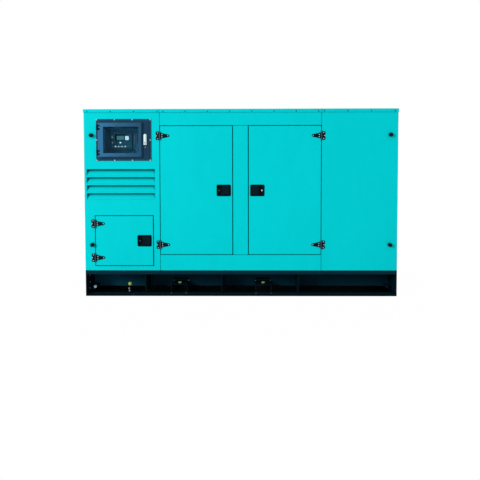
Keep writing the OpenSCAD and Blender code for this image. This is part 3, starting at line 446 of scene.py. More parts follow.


def plasticMaterial(name, look):  # moulded plastic, rubber or a thick coat, with a fine grain
    material, tree, shader = newMaterial(name, Specular_IOR_Level=look["gloss"], Metallic=0.0)
    mottle = effect(tree, "mottle", Scale=look["patch"], Contrast=1.8)
    wornLitEdges = effect(tree, "edgeWear", Radius=look["round"], Amount=look["edges"])
    tone = mixed(tree, mottle["Broad"], look["deep"], look["light"])
    # lighter edges: wear and a painted highlight
    tree.links.new(mixed(tree, wornLitEdges["Mask"], tone, look["edge"]), shader.inputs["Base Color"])
    if "glow" in look:  # a glow: lamps lit from behind; the keys' glow is a backlight with painted light added, the badge's and the stub plug's glow is painted light
        tree.links.new(tone, shader.inputs["Emission Color"])
        shader.inputs["Emission Strength"].default_value = look["glow"]
    tree.links.new(patchyRough(tree, mottle, look["rough"]), shader.inputs["Roughness"])
    skin = effect(tree, "skin", Waves=look["waves"], Grain=look["grain"], Grain_Share=0.8)
    bumped(tree, shader, skin["Height"], look["bump"], 0.0004, wornLitEdges["Normal"])
    return material


plasticCommon = {"gloss": 0.2, "patch": 60.0, "edges": 0.4, "round": 0.001, "rough": (0.3, 0.42),
                 "waves": 600.0, "grain": 3000.0, "bump": 0.1}
plasticLooks = {
    "blackPlastic": {"deep": (0.0004, 0.006, 0.011), "light": (0.0014, 0.0105, 0.018),
                     "edge": (0.006, 0.035, 0.05), "gloss": 0.05, "patch": 14.0, "edges": 0.6,
                     "round": 0.0022, "rough": (0.36, 0.52), "waves": 500.0, "grain": 2400.0, "bump": 0.3},
    "blackRubber": {"deep": (0.001, 0.004, 0.006), "light": (0.003, 0.009, 0.013),
                    "edge": (0.008, 0.028, 0.036), "gloss": 0.1, "patch": 18.0, "round": 0.002,
                    "rough": (0.5, 0.7), "waves": 380.0, "grain": 1800.0, "bump": 0.35},
    "yellowPlastic": {"deep": (0.22, 0.3, 0.06), "light": (0.38, 0.46, 0.11), "edge": (0.6, 0.68, 0.32),
                      "gloss": 0.3, "patch": 30.0, "edges": 0.5, "round": 0.002, "rough": (0.32, 0.5),
                      "waves": 400.0, "grain": 2000.0, "bump": 0.2},
    "barrelPaint": {"deep": (0.022, 0.042, 0.062), "light": (0.036, 0.064, 0.092), "edge": (0.06, 0.09, 0.12),
                    "patch": 40.0, "edges": 0.3, "rough": (0.32, 0.45), "waves": 400.0, "grain": 2200.0,
                    "bump": 0.15},
    "panelNavy": {"deep": (0.012, 0.12, 0.2), "light": (0.022, 0.17, 0.28), "edge": (0.06, 0.26, 0.38),
                  "gloss": 0.05, "patch": 16.0, "edges": 0.5, "round": 0.0015, "rough": (0.4, 0.55),
                  "waves": 500.0, "grain": 2600.0, "bump": 0.2},
    # painted light: the badge glows though it is no lamp
    "keyWhite": {"deep": (0.42, 0.66, 0.8), "light": (0.6, 0.84, 0.95), "edge": (0.8, 0.92, 0.98),
                 "glow": 0.75},
    # the keys glow as a backlight and as painted light in the recess's shade
    "keyLit": {"deep": (0.5, 0.76, 0.9), "light": (0.7, 0.92, 1.0), "edge": (0.85, 0.96, 1.0), "glow": 1.5},
    "lampDim": {"deep": (0.14, 0.24, 0.32), "light": (0.2, 0.34, 0.44), "edge": (0.3, 0.46, 0.56),
                "glow": 0.6, "edges": 0.3, "rough": (0.2, 0.3), "bump": 0.05},
    "lampRed": {"deep": (0.2, 0.1, 0.16), "light": (0.32, 0.16, 0.24), "edge": (0.5, 0.3, 0.4),
                "glow": 0.35, "gloss": 0.3, "edges": 0.3, "rough": (0.15, 0.25), "bump": 0.05},
    "lampGreen": {"deep": (0.02, 0.2, 0.2), "light": (0.04, 0.34, 0.32), "edge": (0.1, 0.45, 0.42),
                  "glow": 0.35, "gloss": 0.3, "edges": 0.3, "rough": (0.15, 0.25), "bump": 0.05},
    # painted highlight: near-white paint for the screws' glints
    "screwWhite": {"deep": (0.6, 0.8, 0.88), "light": (0.8, 0.94, 0.98), "edge": (0.9, 0.98, 1.0),
                   "gloss": 0.5},
    "zincDull": {"deep": (0.16, 0.22, 0.29), "light": (0.26, 0.33, 0.41), "edge": (0.36, 0.43, 0.5),
                 "gloss": 0.4, "patch": 40.0, "bump": 0.15},
    # painted light: a pale plug with a glow
    "stubCap": {"deep": (0.5, 0.74, 0.84), "light": (0.66, 0.88, 0.96), "edge": (0.8, 0.95, 1.0),
                "gloss": 0.5, "glow": 0.12, "patch": 50.0},
}


def metalMaterial(name, look):  # bare or plated metal with its rolling or turning lines
    material, tree, shader = newMaterial(name, Metallic=1.0)
    mottle = effect(tree, "mottle", Scale=look["patch"], Contrast=1.8)
    lines = effect(tree, "brushed", Stretch=look["stretch"], Strength=1.4)["Lines"]
    tone = mixed(tree, mottle["Broad"], look["deep"], look["light"])
    stained = mixed(tree, remap(tree, mottle["Fine"], 0.55, 0.85, 0.0, look["stain"]), tone, look["tint"])
    tree.links.new(stained, shader.inputs["Base Color"])
    smooth, rough = look["rough"]
    spread = calc(tree, "MULTIPLY_ADD", lines, rough - smooth, smooth)
    stippled = calc(tree, "MULTIPLY_ADD", mottle["Fine"], 0.1, spread, clamp=True)
    tree.links.new(stippled, shader.inputs["Roughness"])
    bumped(tree, shader, lines, look["bump"], 0.0003)
    return material


metalLooks = {
    "bareSteel": {"deep": (0.42, 0.44, 0.44), "light": (0.62, 0.64, 0.63), "tint": (0.34, 0.31, 0.26),
                  "patch": 14.0, "stretch": (60, 60, 700), "stain": 0.3, "rough": (0.26, 0.42), "bump": 0.15},
    "chrome": {"deep": (0.68, 0.86, 0.9), "light": (0.8, 0.96, 0.99), "tint": (0.5, 0.56, 0.58),
               "patch": 20.0, "stretch": (300, 300, 20), "stain": 0.12, "rough": (0.12, 0.2), "bump": 0.05},
    "casingSteel": {"deep": (0.4, 0.37, 0.33), "light": (0.6, 0.57, 0.52), "tint": (0.32, 0.2, 0.12),
                    "patch": 5.0, "stretch": (600, 8, 8), "stain": 0.55, "rough": (0.3, 0.46), "bump": 0.2},
}


def foamMaterial():  # charcoal acoustic foam behind perforated facing
    look = {"cell": (0.004, 0.0045, 0.005), "face": (0.03, 0.032, 0.035), "light": (0.05, 0.052, 0.056),
            "pitch": 0.014, "hole": 0.26, "rough": (0.8, 0.95), "sink": 2.5}
    material, tree, shader = newMaterial("acousticFoam", Specular_IOR_Level=0.1, Metallic=0.0)
    mottle = effect(tree, "mottle", Scale=4.0, Contrast=1.6)
    holes = effect(tree, "perforated", Pitch=look["pitch"], Hole=look["hole"])["Holes"]
    face = mixed(tree, mottle["Broad"], look["face"], look["light"])
    tree.links.new(mixed(tree, holes, face, look["cell"]), shader.inputs["Base Color"])
    tree.links.new(patchyRough(tree, mottle, look["rough"]), shader.inputs["Roughness"])
    skin = effect(tree, "skin", Waves=300.0, Grain=900.0, Grain_Share=0.6)["Height"]
    height = calc(tree, "SUBTRACT", skin, calc(tree, "MULTIPLY", holes, look["sink"]))
    bumped(tree, shader, height, 0.6, 0.0012)
    return material


def glassMaterial():  # float glass: the haze of dust shows only in its roughness
    look = {"deep": (0.86, 0.95, 0.96), "light": (0.93, 0.98, 0.98), "haze": (0.0, 0.035)}
    material, tree, shader = newMaterial("windowGlass", Metallic=0.0, IOR=1.12, Transmission_Weight=1.0)
    mottle = effect(tree, "mottle", Scale=5.0, Contrast=1.8)
    tree.links.new(mixed(tree, mottle["Broad"], look["deep"], look["light"]), shader.inputs["Base Color"])
    tree.links.new(remap(tree, mottle["Fine"], 0.3, 0.8, *look["haze"]), shader.inputs["Roughness"])
    return material


def screenMaterial():  # the liquid crystal: a faint pixel grid under a teal light
    look = {"deep": (0.02, 0.17, 0.2), "light": (0.04, 0.25, 0.28), "pitch": 0.0012, "dot": 0.42,
            "share": 0.25, "rough": (0.18, 0.28)}
    material, tree, shader = newMaterial("screenTeal", Specular_IOR_Level=0.3, Metallic=0.0,
                                         Emission_Strength=0.5)
    mottle = effect(tree, "mottle", Scale=22.0, Contrast=1.6)
    grid = effect(tree, "perforated", Pitch=look["pitch"], Hole=look["dot"])["Holes"]
    tone = mixed(tree, mottle["Broad"], look["deep"], look["light"])
    shown = mixed(tree, calc(tree, "MULTIPLY", grid, look["share"]), tone, look["deep"])
    tree.links.new(shown, shader.inputs["Base Color"])
    tree.links.new(shown, shader.inputs["Emission Color"])
    tree.links.new(patchyRough(tree, mottle, look["rough"]), shader.inputs["Roughness"])
    return material


materials = {}
for build, common, looks in ((paintMaterial, paintCommon, paintLooks),
                             (plasticMaterial, plasticCommon, plasticLooks), (metalMaterial, {}, metalLooks)):
    for name, look in looks.items():
        materials[name] = build(name, {**common, **look})
materials["acousticFoam"] = foamMaterial()
materials["windowGlass"] = glassMaterial()
materials["screenTeal"] = screenMaterial()

ownFinish = {"control_recess": "recessPaint", "tank_stubs": "blackPlastic", "earth_stud": "blackPlastic",
             "tank": "tankPaint", "base_end_plates": "strutPaint", "gussets": "strutPaint",
             "fork_pockets": "strutPaint", "foot_rails": "footPaint", "window_flange": "flangePaint",
             "window_leaf": "leafPaint"}


def slotFinish(slotName):  # base_paint is finished in basePaint
    first, *others = slotName.split("_")
    return first + "".join(word.capitalize() for word in others)


for part in frame["record"]["subparts"]:
    mesh = cadNodes[part["node"]].data
    mesh.materials.clear()
    mesh.materials.append(materials[ownFinish.get(part["node"], slotFinish(part["material_slot"]))])
print("stage: materials on the frame")


# the enclosure's own places, read from the frame

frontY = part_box("right_panel")[0].y
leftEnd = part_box("left_panel")[0].x
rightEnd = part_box("right_panel")[1].x
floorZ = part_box("right_panel")[0].z
roofLow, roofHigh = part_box("roof")
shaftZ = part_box("turbine")[1].z - 240 * mm  # the casing rises 240 mm over the shaft


def buildRoofScrews():
    screws = {"rows": ((-1.467, 0.2235, 4), (-0.740, 0.2117, 8), (0.797, 0.2235, 4)),  # start, pitch, count
              "endPitch": 0.25, "down": 23 * mm, "size": (5.5 * mm, 3 * mm)}
    bm = bmesh.new()
    z = roofHigh.z - screws["down"]
    for start, pitch, count in screws["rows"]:
        for i in range(count):
            for y, facing in ((roofLow.y, -1), (roofHigh.y, 1)):
                panHead(bm, (start + pitch * i, y, z), (0, facing, 0), *screws["size"])
    for x, facing in ((roofLow.x, -1), (roofHigh.x, 1)):
        for i in range(-2, 3):
            panHead(bm, (x, i * screws["endPitch"], z), (facing, 0, 0), *screws["size"])
    piece("roof_screws", bm, "blackFittings", "root")


def buildEndScrews():  # plain screws up the corners of the two end panels
    screws = {"inset": 18 * mm, "up": 0.03, "pitch": 0.295, "count": 6, "size": (5 * mm, 2.6 * mm)}
    bm = bmesh.new()
    low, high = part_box("left_end_panel")
    for x, facing in ((leftEnd, -1), (rightEnd, 1)):
        for y in (low.y + screws["inset"], high.y - screws["inset"]):
            for i in range(screws["count"]):
                z = floorZ + screws["up"] + i * screws["pitch"]
                panHead(bm, (x, y, z), (facing, 0, 0), *screws["size"])
    piece("end_screws", bm, "blackFittings", "root")


strapHinge = {"leaf": ((-21, 28), (-21, -28), (-29, 0)),  # the screws' places from the axis, in millimetres
              "strap": ((22, 10), (22, -10), (78, 0)),
              "screw":(4.2 * mm, 2.4 * mm), "plateOut": 3 * mm, "axisOut": 8 * mm, "axisIn": 7 * mm,
              "half": 25 * mm, "barrel": (6.6 * mm, 7.3 * mm, 7.4 * mm), "round": 0.4 * mm,
              "middle": 12.6 * mm, "gap": 14.4 * mm, "end": 39.6 * mm}


def hingeScrews(bm, x, y, z, side, parts):  # the screws of a strap hinge whose axis is at x, z
    for across, up in strapHinge[parts]:
        facing = -1 if y < 0 else 1
        panHead(bm, (x + side * across * mm, y, z + up * mm), (0, facing, 0), *strapHinge["screw"])


def hingeBarrel(bm, x, y, z, low, high):  # the worn sleeve of a hinge's barrel
    bore, lip, outer = strapHinge["barrel"]
    length, soft = high - low, strapHinge["round"]
    profile = [(bore, 0), (lip, 0), (outer, soft), (outer, length - soft), (lip, length), (bore, length)]
    turned(bm, profile, (x, y, z + low), (0, 0, 1), 28)


def buildHinges():
    plateY = frontY - strapHinge["plateOut"]
    axisY = frontY - strapHinge["axisOut"]
    middle, gap, end = (strapHinge[key] for key in ("middle", "gap", "end"))
    fixed, rear, fixedBarrels = bmesh.new(), bmesh.new(), bmesh.new()
    for name in ("left_door", "right_door", "cable_door"):
        low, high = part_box(name + "_straps")
        side = -1 if name == "right_door" else 1
        axis = high.x - strapHinge["axisIn"] if side < 0 else low.x + strapHinge["axisIn"]
        moving, barrels = bmesh.new(), bmesh.new()
        for z in (low.z + strapHinge["half"], high.z - strapHinge["half"]):
            hingeScrews(fixed, axis, plateY, z, side, "leaf")
            hingeScrews(moving, axis, plateY, z, side, "strap")
            hingeBarrel(barrels, axis, axisY, z, -middle, middle)
            hingeBarrel(fixedBarrels, axis, axisY, z, -end, -gap)
            hingeBarrel(fixedBarrels, axis, axisY, z, gap, end)
            if name != "cable_door":
                hingeBarrel(fixedBarrels, axis, -axisY, z, -end, end)
                for parts in ("leaf", "strap"):
                    hingeScrews(rear, axis, -plateY, z, side, parts)
        piece(name + "_hinge_barrels", barrels, "barrelPaint", name)
        piece(name + "_hinge_screws", moving, "screwWhite", name)
    piece("hinge_leaf_barrels", fixedBarrels, "barrelPaint", "root")
    piece("hinge_leaf_screws", fixed, "screwWhite", "root")
    piece("rear_hinge_screws", rear, "screwWhite", "root")


paddleLock = {"proud": 0.2 * mm, "keyAcross": 44 * mm, "slotOut": 0.6 * mm,
              "slot": (0.8 * mm, 0.5 * mm, 3 * mm),
              "key": ((0, 0.3), (3.4, 0.3), (3.6, 1.6), (6.4, 1.8), (7.2, 1.1), (7.2, -1), (0, -1)),
              "ribs": 5, "ribStart": -10 * mm, "ribPitch": 4.5 * mm, "rib": (1.1 * mm, 1.4 * mm, 22 * mm),
              "ribEdge": 0.5 * mm, "rim": (67 * mm, 54 * mm), "rimOut": 3 * mm, "rimWidth": 6 * mm,
              "rimCorners": (10 * mm, 5 * mm), "rimLifts": (0.0, 1.2 * mm, 1.8 * mm, 0.0)}


def lockTrim(keys, ribs, x, z, side, facing):  # the key cylinder's face and the paddle's ribs
    face = facing * (abs(frontY) + paddleLock["proud"])
    keyX = x - side * paddleLock["keyAcross"]
    turned(keys, inMm(paddleLock["key"]), (keyX, face, z), (0, facing, 0), 24)
    blockAt(keys, (keyX, face + facing * paddleLock["slotOut"], z), paddleLock["slot"])
    for i in range(paddleLock["ribs"]):
        ribX = x + side * (paddleLock["ribStart"] + paddleLock["ribPitch"] * i)
        blockAt(ribs, (ribX, face, z), paddleLock["rib"], paddleLock["ribEdge"])


def lockRim(bm, x, z, facing):  # the raised rim round the flange
    halfW, halfH = paddleLock["rim"]
    low, high = Vector((x - halfW, 0, z - halfH)), Vector((x + halfW, 0, z + halfH))
    outer, inner = (insetOutline(low, high, inset, corner, 6) for inset, corner
                    in zip((0.0, paddleLock["rimWidth"]), paddleLock["rimCorners"]))
    y = facing * (abs(frontY) + paddleLock["rimOut"])
    rings = [[bm.verts.new((px, y + facing * lift, pz)) for px, pz in outline]
             for outline, lift in zip((outer, outer, inner, inner), paddleLock["rimLifts"])]
    skinned(bm, rings, True)


def buildLockTrims():
    rearKeys, rearRibs = bmesh.new(), bmesh.new()
    for name, side in (("left", 1), ("right", -1), ("cable", 1)):
        low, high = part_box(name + "_lock")
        x, z = (low.x + high.x) / 2, (low.z + high.z) / 2
        keys, ribs = bmesh.new(), bmesh.new()
        lockTrim(keys, ribs, x, z, side, -1)
        lockRim(ribs, x, z, -1)
        # the right key is bare steel; the left and cable keys are dark paint, painted shade on the same
        # cylinders
        keyFinish = "bareSteel" if name == "right" else "barrelPaint"
        piece(name + "_lock_key", keys, keyFinish, name + "_door")
        piece(name + "_lock_trim", ribs, "blackPlastic", name + "_door")
        if name != "cable":
            lockTrim(rearKeys, rearRibs, x, z, side, 1)
            lockRim(rearRibs, x, z, 1)
    piece("rear_lock_keys", rearKeys, "bareSteel", "root")
    piece("rear_lock_trims", rearRibs, "blackPlastic", "root")


def buildDoorSeals():  # hollow rubber seals on the doorway frames, behind the shut doors
    seal = {"width": 12 * mm, "inset": 4 * mm, "thick": 4.6 * mm, "behind": 40 * mm,
            "section": ((0, 0), (1, 0), (0.85, 0.8), (0.5, 1), (0.15, 0.8))}  # shares of width and thick
    inset, width, thick = seal["inset"], seal["width"], seal["thick"]
    bm = bmesh.new()
    for facing in (-1, 1):
        y = facing * (abs(frontY) - seal["behind"])
        section = [(inset + width * s, y + facing * thick * t) for s, t in seal["section"]]
        for low, high in (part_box("left_door"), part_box("right_door")):
            framed(bm, low.x, high.x, low.z, high.z, section)
    piece("door_seals", bm, "blackRubber", "root")


def buildWindowScrews():
    screws = {"in": (6 * mm, 11 * mm), "head": 6 * mm, "size": (5.2 * mm, 2.6 * mm),
              "across": (0.0, 0.333, 0.666, 1.0)}
    low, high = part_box("window_flange")
    bm = bmesh.new()
    x0, x1 = low.x + screws["in"][0], high.x - screws["in"][1]
    places = [(x0 + (x1 - x0) * t, z) for t in screws["across"]
              for z in (low.z + screws["head"], high.z - screws["head"])]
    places += [(x, (low.z + high.z) / 2) for x in (x0, x1)]
    for x, z in places:
        panHead(bm, (x, low.y, z), (0, -1, 0), *screws["size"])
    piece("window_screws", bm, "screwWhite", "root")


def buildWindowRubber():  # the glazing rubber's lip on the glass
    rubber = {"inset": 7 * mm, "section": ((0, 0), (5, 0), (4.2, -2), (1.5, -3.2), (0, -3.4))}
    low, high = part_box("window_glass")
    bm = bmesh.new()
    inset = rubber["inset"]
    section = [(s * mm, low.y + out * mm) for s, out in rubber["section"]]
    framed(bm, low.x + inset, high.x - inset, low.z + inset, high.z - inset, section)
    piece("window_rubber", bm, "blackRubber", "control_window")


def buildWindowLock():
    lock = {"plateIn": 6 * mm, "keyUp": 15 * mm, "studDown": 14 * mm, "holeUp": 28 * mm,
            "key": ((0, 2.4), (2.6, 2.4), (3, 3.4), (6.4, 3.2), (7.2, 2.4), (7.2, 0), (0, 0)),
            "stud": ((0, 2.2), (3.6, 2.0), (4.2, 0), (0, 0)),
            "hole": ((0, 0.8), (4.8, 0.8), (5.4, 0.2), (5.4, -1), (0, -1)),
            "foot": ((-14.4 * mm, -1.4 * mm, -0.4 * mm), (14.4 * mm, 5 * mm, 7.5 * mm)), "footEdge": 1 * mm}
    low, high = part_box("window_lock")
    x = (low.x + high.x) / 2
    plateY = high.y - lock["plateIn"]
    key, hole = bmesh.new(), bmesh.new()
    turned(key, inMm(lock["key"]), (x, plateY, low.z + lock["keyUp"]), (0, -1, 0), 24)
    turned(key, inMm(lock["stud"]), (x, high.y, low.z - lock["studDown"]), (0, -1, 0), 18)
    piece("window_lock_key", key, "bareSteel", "control_window")
    turned(hole, inMm(lock["hole"]), (x, low.y, low.z + lock["holeUp"]), (0, -1, 0), 20)
    start = Vector((x, plateY, low.z))
    block(hole, *(start + Vector(corner) for corner in lock["foot"]), lock["footEdge"])
    piece("window_keyhole", hole, "blackPlastic", "control_window")


def buildWindowHinges():  # black covers on the leaf's halves of the window hinges
    hinge = {"axis": 14 * mm, "axisOut": 10.5 * mm, "in": 79 * mm, "back": 6.8 * mm,
             "covers": ((7.4, 25, 2, 23.4, 1), (1, 9, -0.8, 7.6, 0.8)),  # near, far, front, half height, edge
             "sleeve": ((5.8, -7.6), (6.5, -7.6), (6.5, 7.6), (5.8, 7.6)),
             "screw": (4 * mm, 2 * mm), "screwAcross": 17 * mm, "screwFront": 2 * mm, "screwUp": 15 * mm}
    low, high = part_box("window_flange")
    x, y = low.x + hinge["axis"], low.y - hinge["axisOut"]
    bm = bmesh.new()
    for z in (low.z + hinge["in"], high.z - hinge["in"]):
        for cover in hinge["covers"]:
            near, far, front, half, edge = (size * mm for size in cover)
            block(bm, (x + near, y + front, z - half), (x + far, y + hinge["back"], z + half), edge)
        turned(bm, inMm(hinge["sleeve"]), (x, y, z), (0, 0, 1), 24)
        for up in (-hinge["screwUp"], hinge["screwUp"]):
            place = (x + hinge["screwAcross"], y + hinge["screwFront"], z + up)
            panHead(bm, place, (0, -1, 0), *hinge["screw"])
    piece("window_hinge_covers", bm, "blackFittings", "control_window")


def buildControllerFace():  # panels, oval, keys and lamps are in millimetres from the controller's middle
    face = {"edge": 1 * mm, "border": 14 * mm, "corners": (14 * mm, 8 * mm),
            "bezelLifts": (-1 * mm, 3 * mm, 4.2 * mm, 0.6 * mm), "seat": 0.2 * mm, "panelEdge": 0.6 * mm,
            "surround": (-65, 31, 5, 68, 4, 0.9), "screen": (-51, 22, 11.5, 53.5, 2, 1.6),
            "badge": (35, 70, 12, 50, 4, 2.6), "oval": (-13, -15.5, 8, 5.5), "ovalEdge": 0.8 * mm,
            "keys": (-62.5, -30.5, 2, 35.5), "greenKey": 67, "keyRow": -53, "keySize": (4.6, 5, 3),
            "keyLift": 3.2, "lamps": (39, -17.5, -53), "lampAcross": -93.5,
            "lamp": ((0, 6.4), (2.4, 6), (3, 3), (0, 3))}
    low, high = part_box("controller")
    y = low.y
    cx, cz = (low.x + high.x) / 2, (low.z + high.z) / 2

    def panel(bm, dx0, dx1, dz0, dz1, radius, lift):  # a raised rounded panel between offsets from the middle
        outline = roundedOutline(cx + dx0 * mm, cx + dx1 * mm, cz + dz0 * mm, cz + dz1 * mm, radius * mm, 4)
        plate(bm, outline, y - lift * mm, y - face["seat"], face["panelEdge"])

    bezel = bmesh.new()
    outer, inner = (insetOutline(low, high, inset, corner, 8) for inset, corner
                    in zip((face["edge"], face["border"]), face["corners"]))
    rings = [[bezel.verts.new((px, y - lift, pz)) for px, pz in outline]
             for outline, lift in zip((outer, outer, inner, inner), face["bezelLifts"])]
    skinned(bezel, rings)
    bezel.faces.new(rings[3][::-1])
    piece("controller_bezel", bezel, "panelNavy", "root")
    for name, finish in (("surround", "blackPlastic"), ("screen", "screenTeal"), ("badge", "keyWhite")):
        bm = bmesh.new()
        panel(bm, *face[name])
        piece("controller_" + name, bm, finish, "root")

    keys, green, red = bmesh.new(), bmesh.new(), bmesh.new()
    ox, oz, rx, rz = face["oval"]
    angles = [t * math.pi / 10 for t in range(20)]
    oval = [(cx + (ox + rx * math.cos(t)) * mm, cz + (oz + rz * math.sin(t)) * mm) for t in angles]
    plate(keys, oval, y - face["keyLift"] * mm, y - face["seat"], face["ovalEdge"])
    halfW, halfH, corner = face["keySize"]
    row = face["keyRow"]
    for bm, spots in ((keys, face["keys"]), (green, (face["greenKey"],))):
        for dx in spots:
            panel(bm, dx - halfW, dx + halfW, row - halfH, row + halfH, corner, face["keyLift"])
    for bm, dz in zip((keys, keys, red), face["lamps"]):
        turned(bm, inMm(face["lamp"]), (cx + face["lampAcross"] * mm, y, cz + dz * mm), (0, -1, 0), 14)
    piece("controller_keys", keys, "keyLit", "root")
    piece("controller_green_key", green, "lampGreen", "root")
    piece("controller_red_lamp", red, "lampRed", "root")


def buildPanelMarks():  # the lamps beside the controller, on the recess's back
    marks = {"across": 20 * mm, "second": 22 * mm, "top": 68 * mm, "pitch": 24 * mm,
             "corner": (49 * mm, -108 * mm), "large": 4 * mm, "small": 2.6 * mm, "backIn": 2 * mm}
    low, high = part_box("controller")
    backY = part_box("control_recess")[1].y - marks["backIn"]
    middleZ = (low.z + high.z) / 2
    dim, red, green = bmesh.new(), bmesh.new(), bmesh.new()

    def lamp(bm, across, up, radius):  # a domed lamp at a place from the controller's right side
        profile = [(0, radius), (radius * 0.7, radius * 0.8), (radius, 0), (0, 0)]
        turned(bm, profile, (high.x + across, backY, middleZ + up), (0, -1, 0), 14)

    for i, bm in enumerate((red, dim, dim, dim, dim, green)):
        up = marks["top"] - marks["pitch"] * i
        lamp(bm, marks["across"], up, marks["large"])
        lamp(dim, marks["across"] + marks["second"], up, marks["small"])
    lamp(dim, *marks["corner"], marks["large"])
    piece("panel_lamps", dim, "lampDim", "root")
    piece("panel_red_lamps", red, "lampRed", "root")
    piece("panel_green_lamp", green, "lampGreen", "root")


def buildRecessRibs():  # the pressed ribs on the recess's left side
    ribs = {"count": 19, "wall": 2 * mm, "sink": 0.5 * mm, "proud": 2.2 * mm, "low": 8 * mm, "short": 12 * mm,
            "front": 4 * mm, "back": 3 * mm, "share": 0.28, "edge": 0.9 * mm}
    low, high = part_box("control_recess")
    x = low.x + ribs["wall"]
    bm = bmesh.new()
    pitch = (high.z - low.z - ribs["short"]) / ribs["count"]
    half = pitch * ribs["share"]
    for i in range(ribs["count"]):
        z = low.z + ribs["low"] + (i + 0.5) * pitch
        block(bm, (x - ribs["sink"], low.y + ribs["front"], z - half),
              (x + ribs["proud"], high.y - ribs["back"], z + half), ribs["edge"])
    piece("recess_ribs", bm, "recessPaint", "root")


def buildBaseBolts():
    bolts = {"forkW": 159 * mm, "forkIn": 6 * mm, "capOut": 9 * mm, "cap": (5 * mm, 5 * mm), "footY": 0.5,
             "foot": (5 * mm, 3 * mm), "endIn": 10 * mm, "endY": 0.45, "endZ": (0.055, 0.116, 0.185),
             "end": (5 * mm, 4.5 * mm)}
    zinc, shaded = bmesh.new(), bmesh.new()
    low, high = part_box("fork_pockets")
    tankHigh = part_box("tank")[1]
    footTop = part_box("foot_rails")[1].z
    for x in (low.x, high.x - bolts["forkW"]):
        for dx in (bolts["forkIn"], bolts["forkW"] - bolts["forkIn"]):
            for facing in (-1, 1):
                capY = facing * (tankHigh.y + bolts["capOut"])
                panHead(zinc, (x + dx, capY, high.z), (0, 0, 1), *bolts["cap"])
                panHead(zinc, (x + dx, facing * bolts["footY"], footTop), (0, 0, 1), *bolts["foot"])
    # the left end's bolts are zinc, the right end's are black as painted shade
    for side, x, bm in ((1, leftEnd + bolts["endIn"], zinc), (-1, rightEnd - bolts["endIn"], shaded)):
        for y in (-bolts["endY"], bolts["endY"]):
            for z in bolts["endZ"]:
                hexBolt(bm, (x, y, z), (side, 0, 0), *bolts["end"])
    piece("base_bolts", zinc, "zincDull", "root")
    piece("base_bolts_dark", shaded, "blackFittings", "root")


def buildWelds():
    weld = {"plate": 10 * mm, "radius": 3.5 * mm, "wander": 0.6 * mm, "out": 1.5 * mm, "low": 6 * mm,
            "short": 10 * mm, "steps": 24}
    low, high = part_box("gussets")
    tankLow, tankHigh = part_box("tank")
    rng = random.Random(7)
    bm = bmesh.new()
    wander, thick = weld["wander"], weld["plate"]
    height = tankHigh.z - tankLow.z - weld["short"]
    for facing in (-1, 1):
        y = facing * (abs(tankLow.y) + weld["out"])
        for x in (low.x, (low.x + high.x) / 2 - thick / 2, high.x - thick):
            for edge in (x, x + thick):
                points = []
                for i in range(weld["steps"]):
                    z = tankLow.z + weld["low"] + height * i / (weld["steps"] - 1)
                    points.append((edge + rng.uniform(-wander, wander), y, z))
                swept(bm, points, weld["radius"], 6)
    piece("weld_beads", bm, "strutPaint", "root")


def buildStubPlugs():  # plugs in the ends of the tank's stubs: the front left one pale with a painted glow, the others black as painted shade
    stub = {"out": 140 * mm, "in": 58 * mm, "up": 64 * mm,
            "plug": ((0, 7), (8, 6), (12.4, 3), (13.6, -2), (13.6, -14), (12.8, -14))}
    litPale, shaded = bmesh.new(), bmesh.new()
    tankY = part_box("tank")[1].y
    for x in (leftEnd + stub["in"], rightEnd - stub["in"]):
        for facing in (-1, 1):
            bm = litPale if x < 0 and facing < 0 else shaded
            place = (x, facing * (tankY + stub["out"]), stub["up"])
            turned(bm, inMm(stub["plug"]), place, (0, facing, 0), 28)
    piece("stub_plug", litPale, "stubCap", "root")
    piece("stub_plugs_dark", shaded, "blackPlastic", "root")


def buildEarthNuts():  # the nuts on the earth stud's lugs
    nuts = {"places": ((-7 * mm, 45 * mm), (-3 * mm, 22 * mm)), "out": 14 * mm,
            "size": (6.5 * mm, 5 * mm, 1.2)}
    low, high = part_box("earth_stud")
    x, y = (low.x + high.x) / 2, (low.y + high.y) / 2
    bm = bmesh.new()
    for across, up in nuts["places"]:
        hexBolt(bm, (x + across, y - nuts["out"], low.z + up), (0, -1, 0), *nuts["size"])
    piece("earth_nuts", bm, "zincDull", "root")


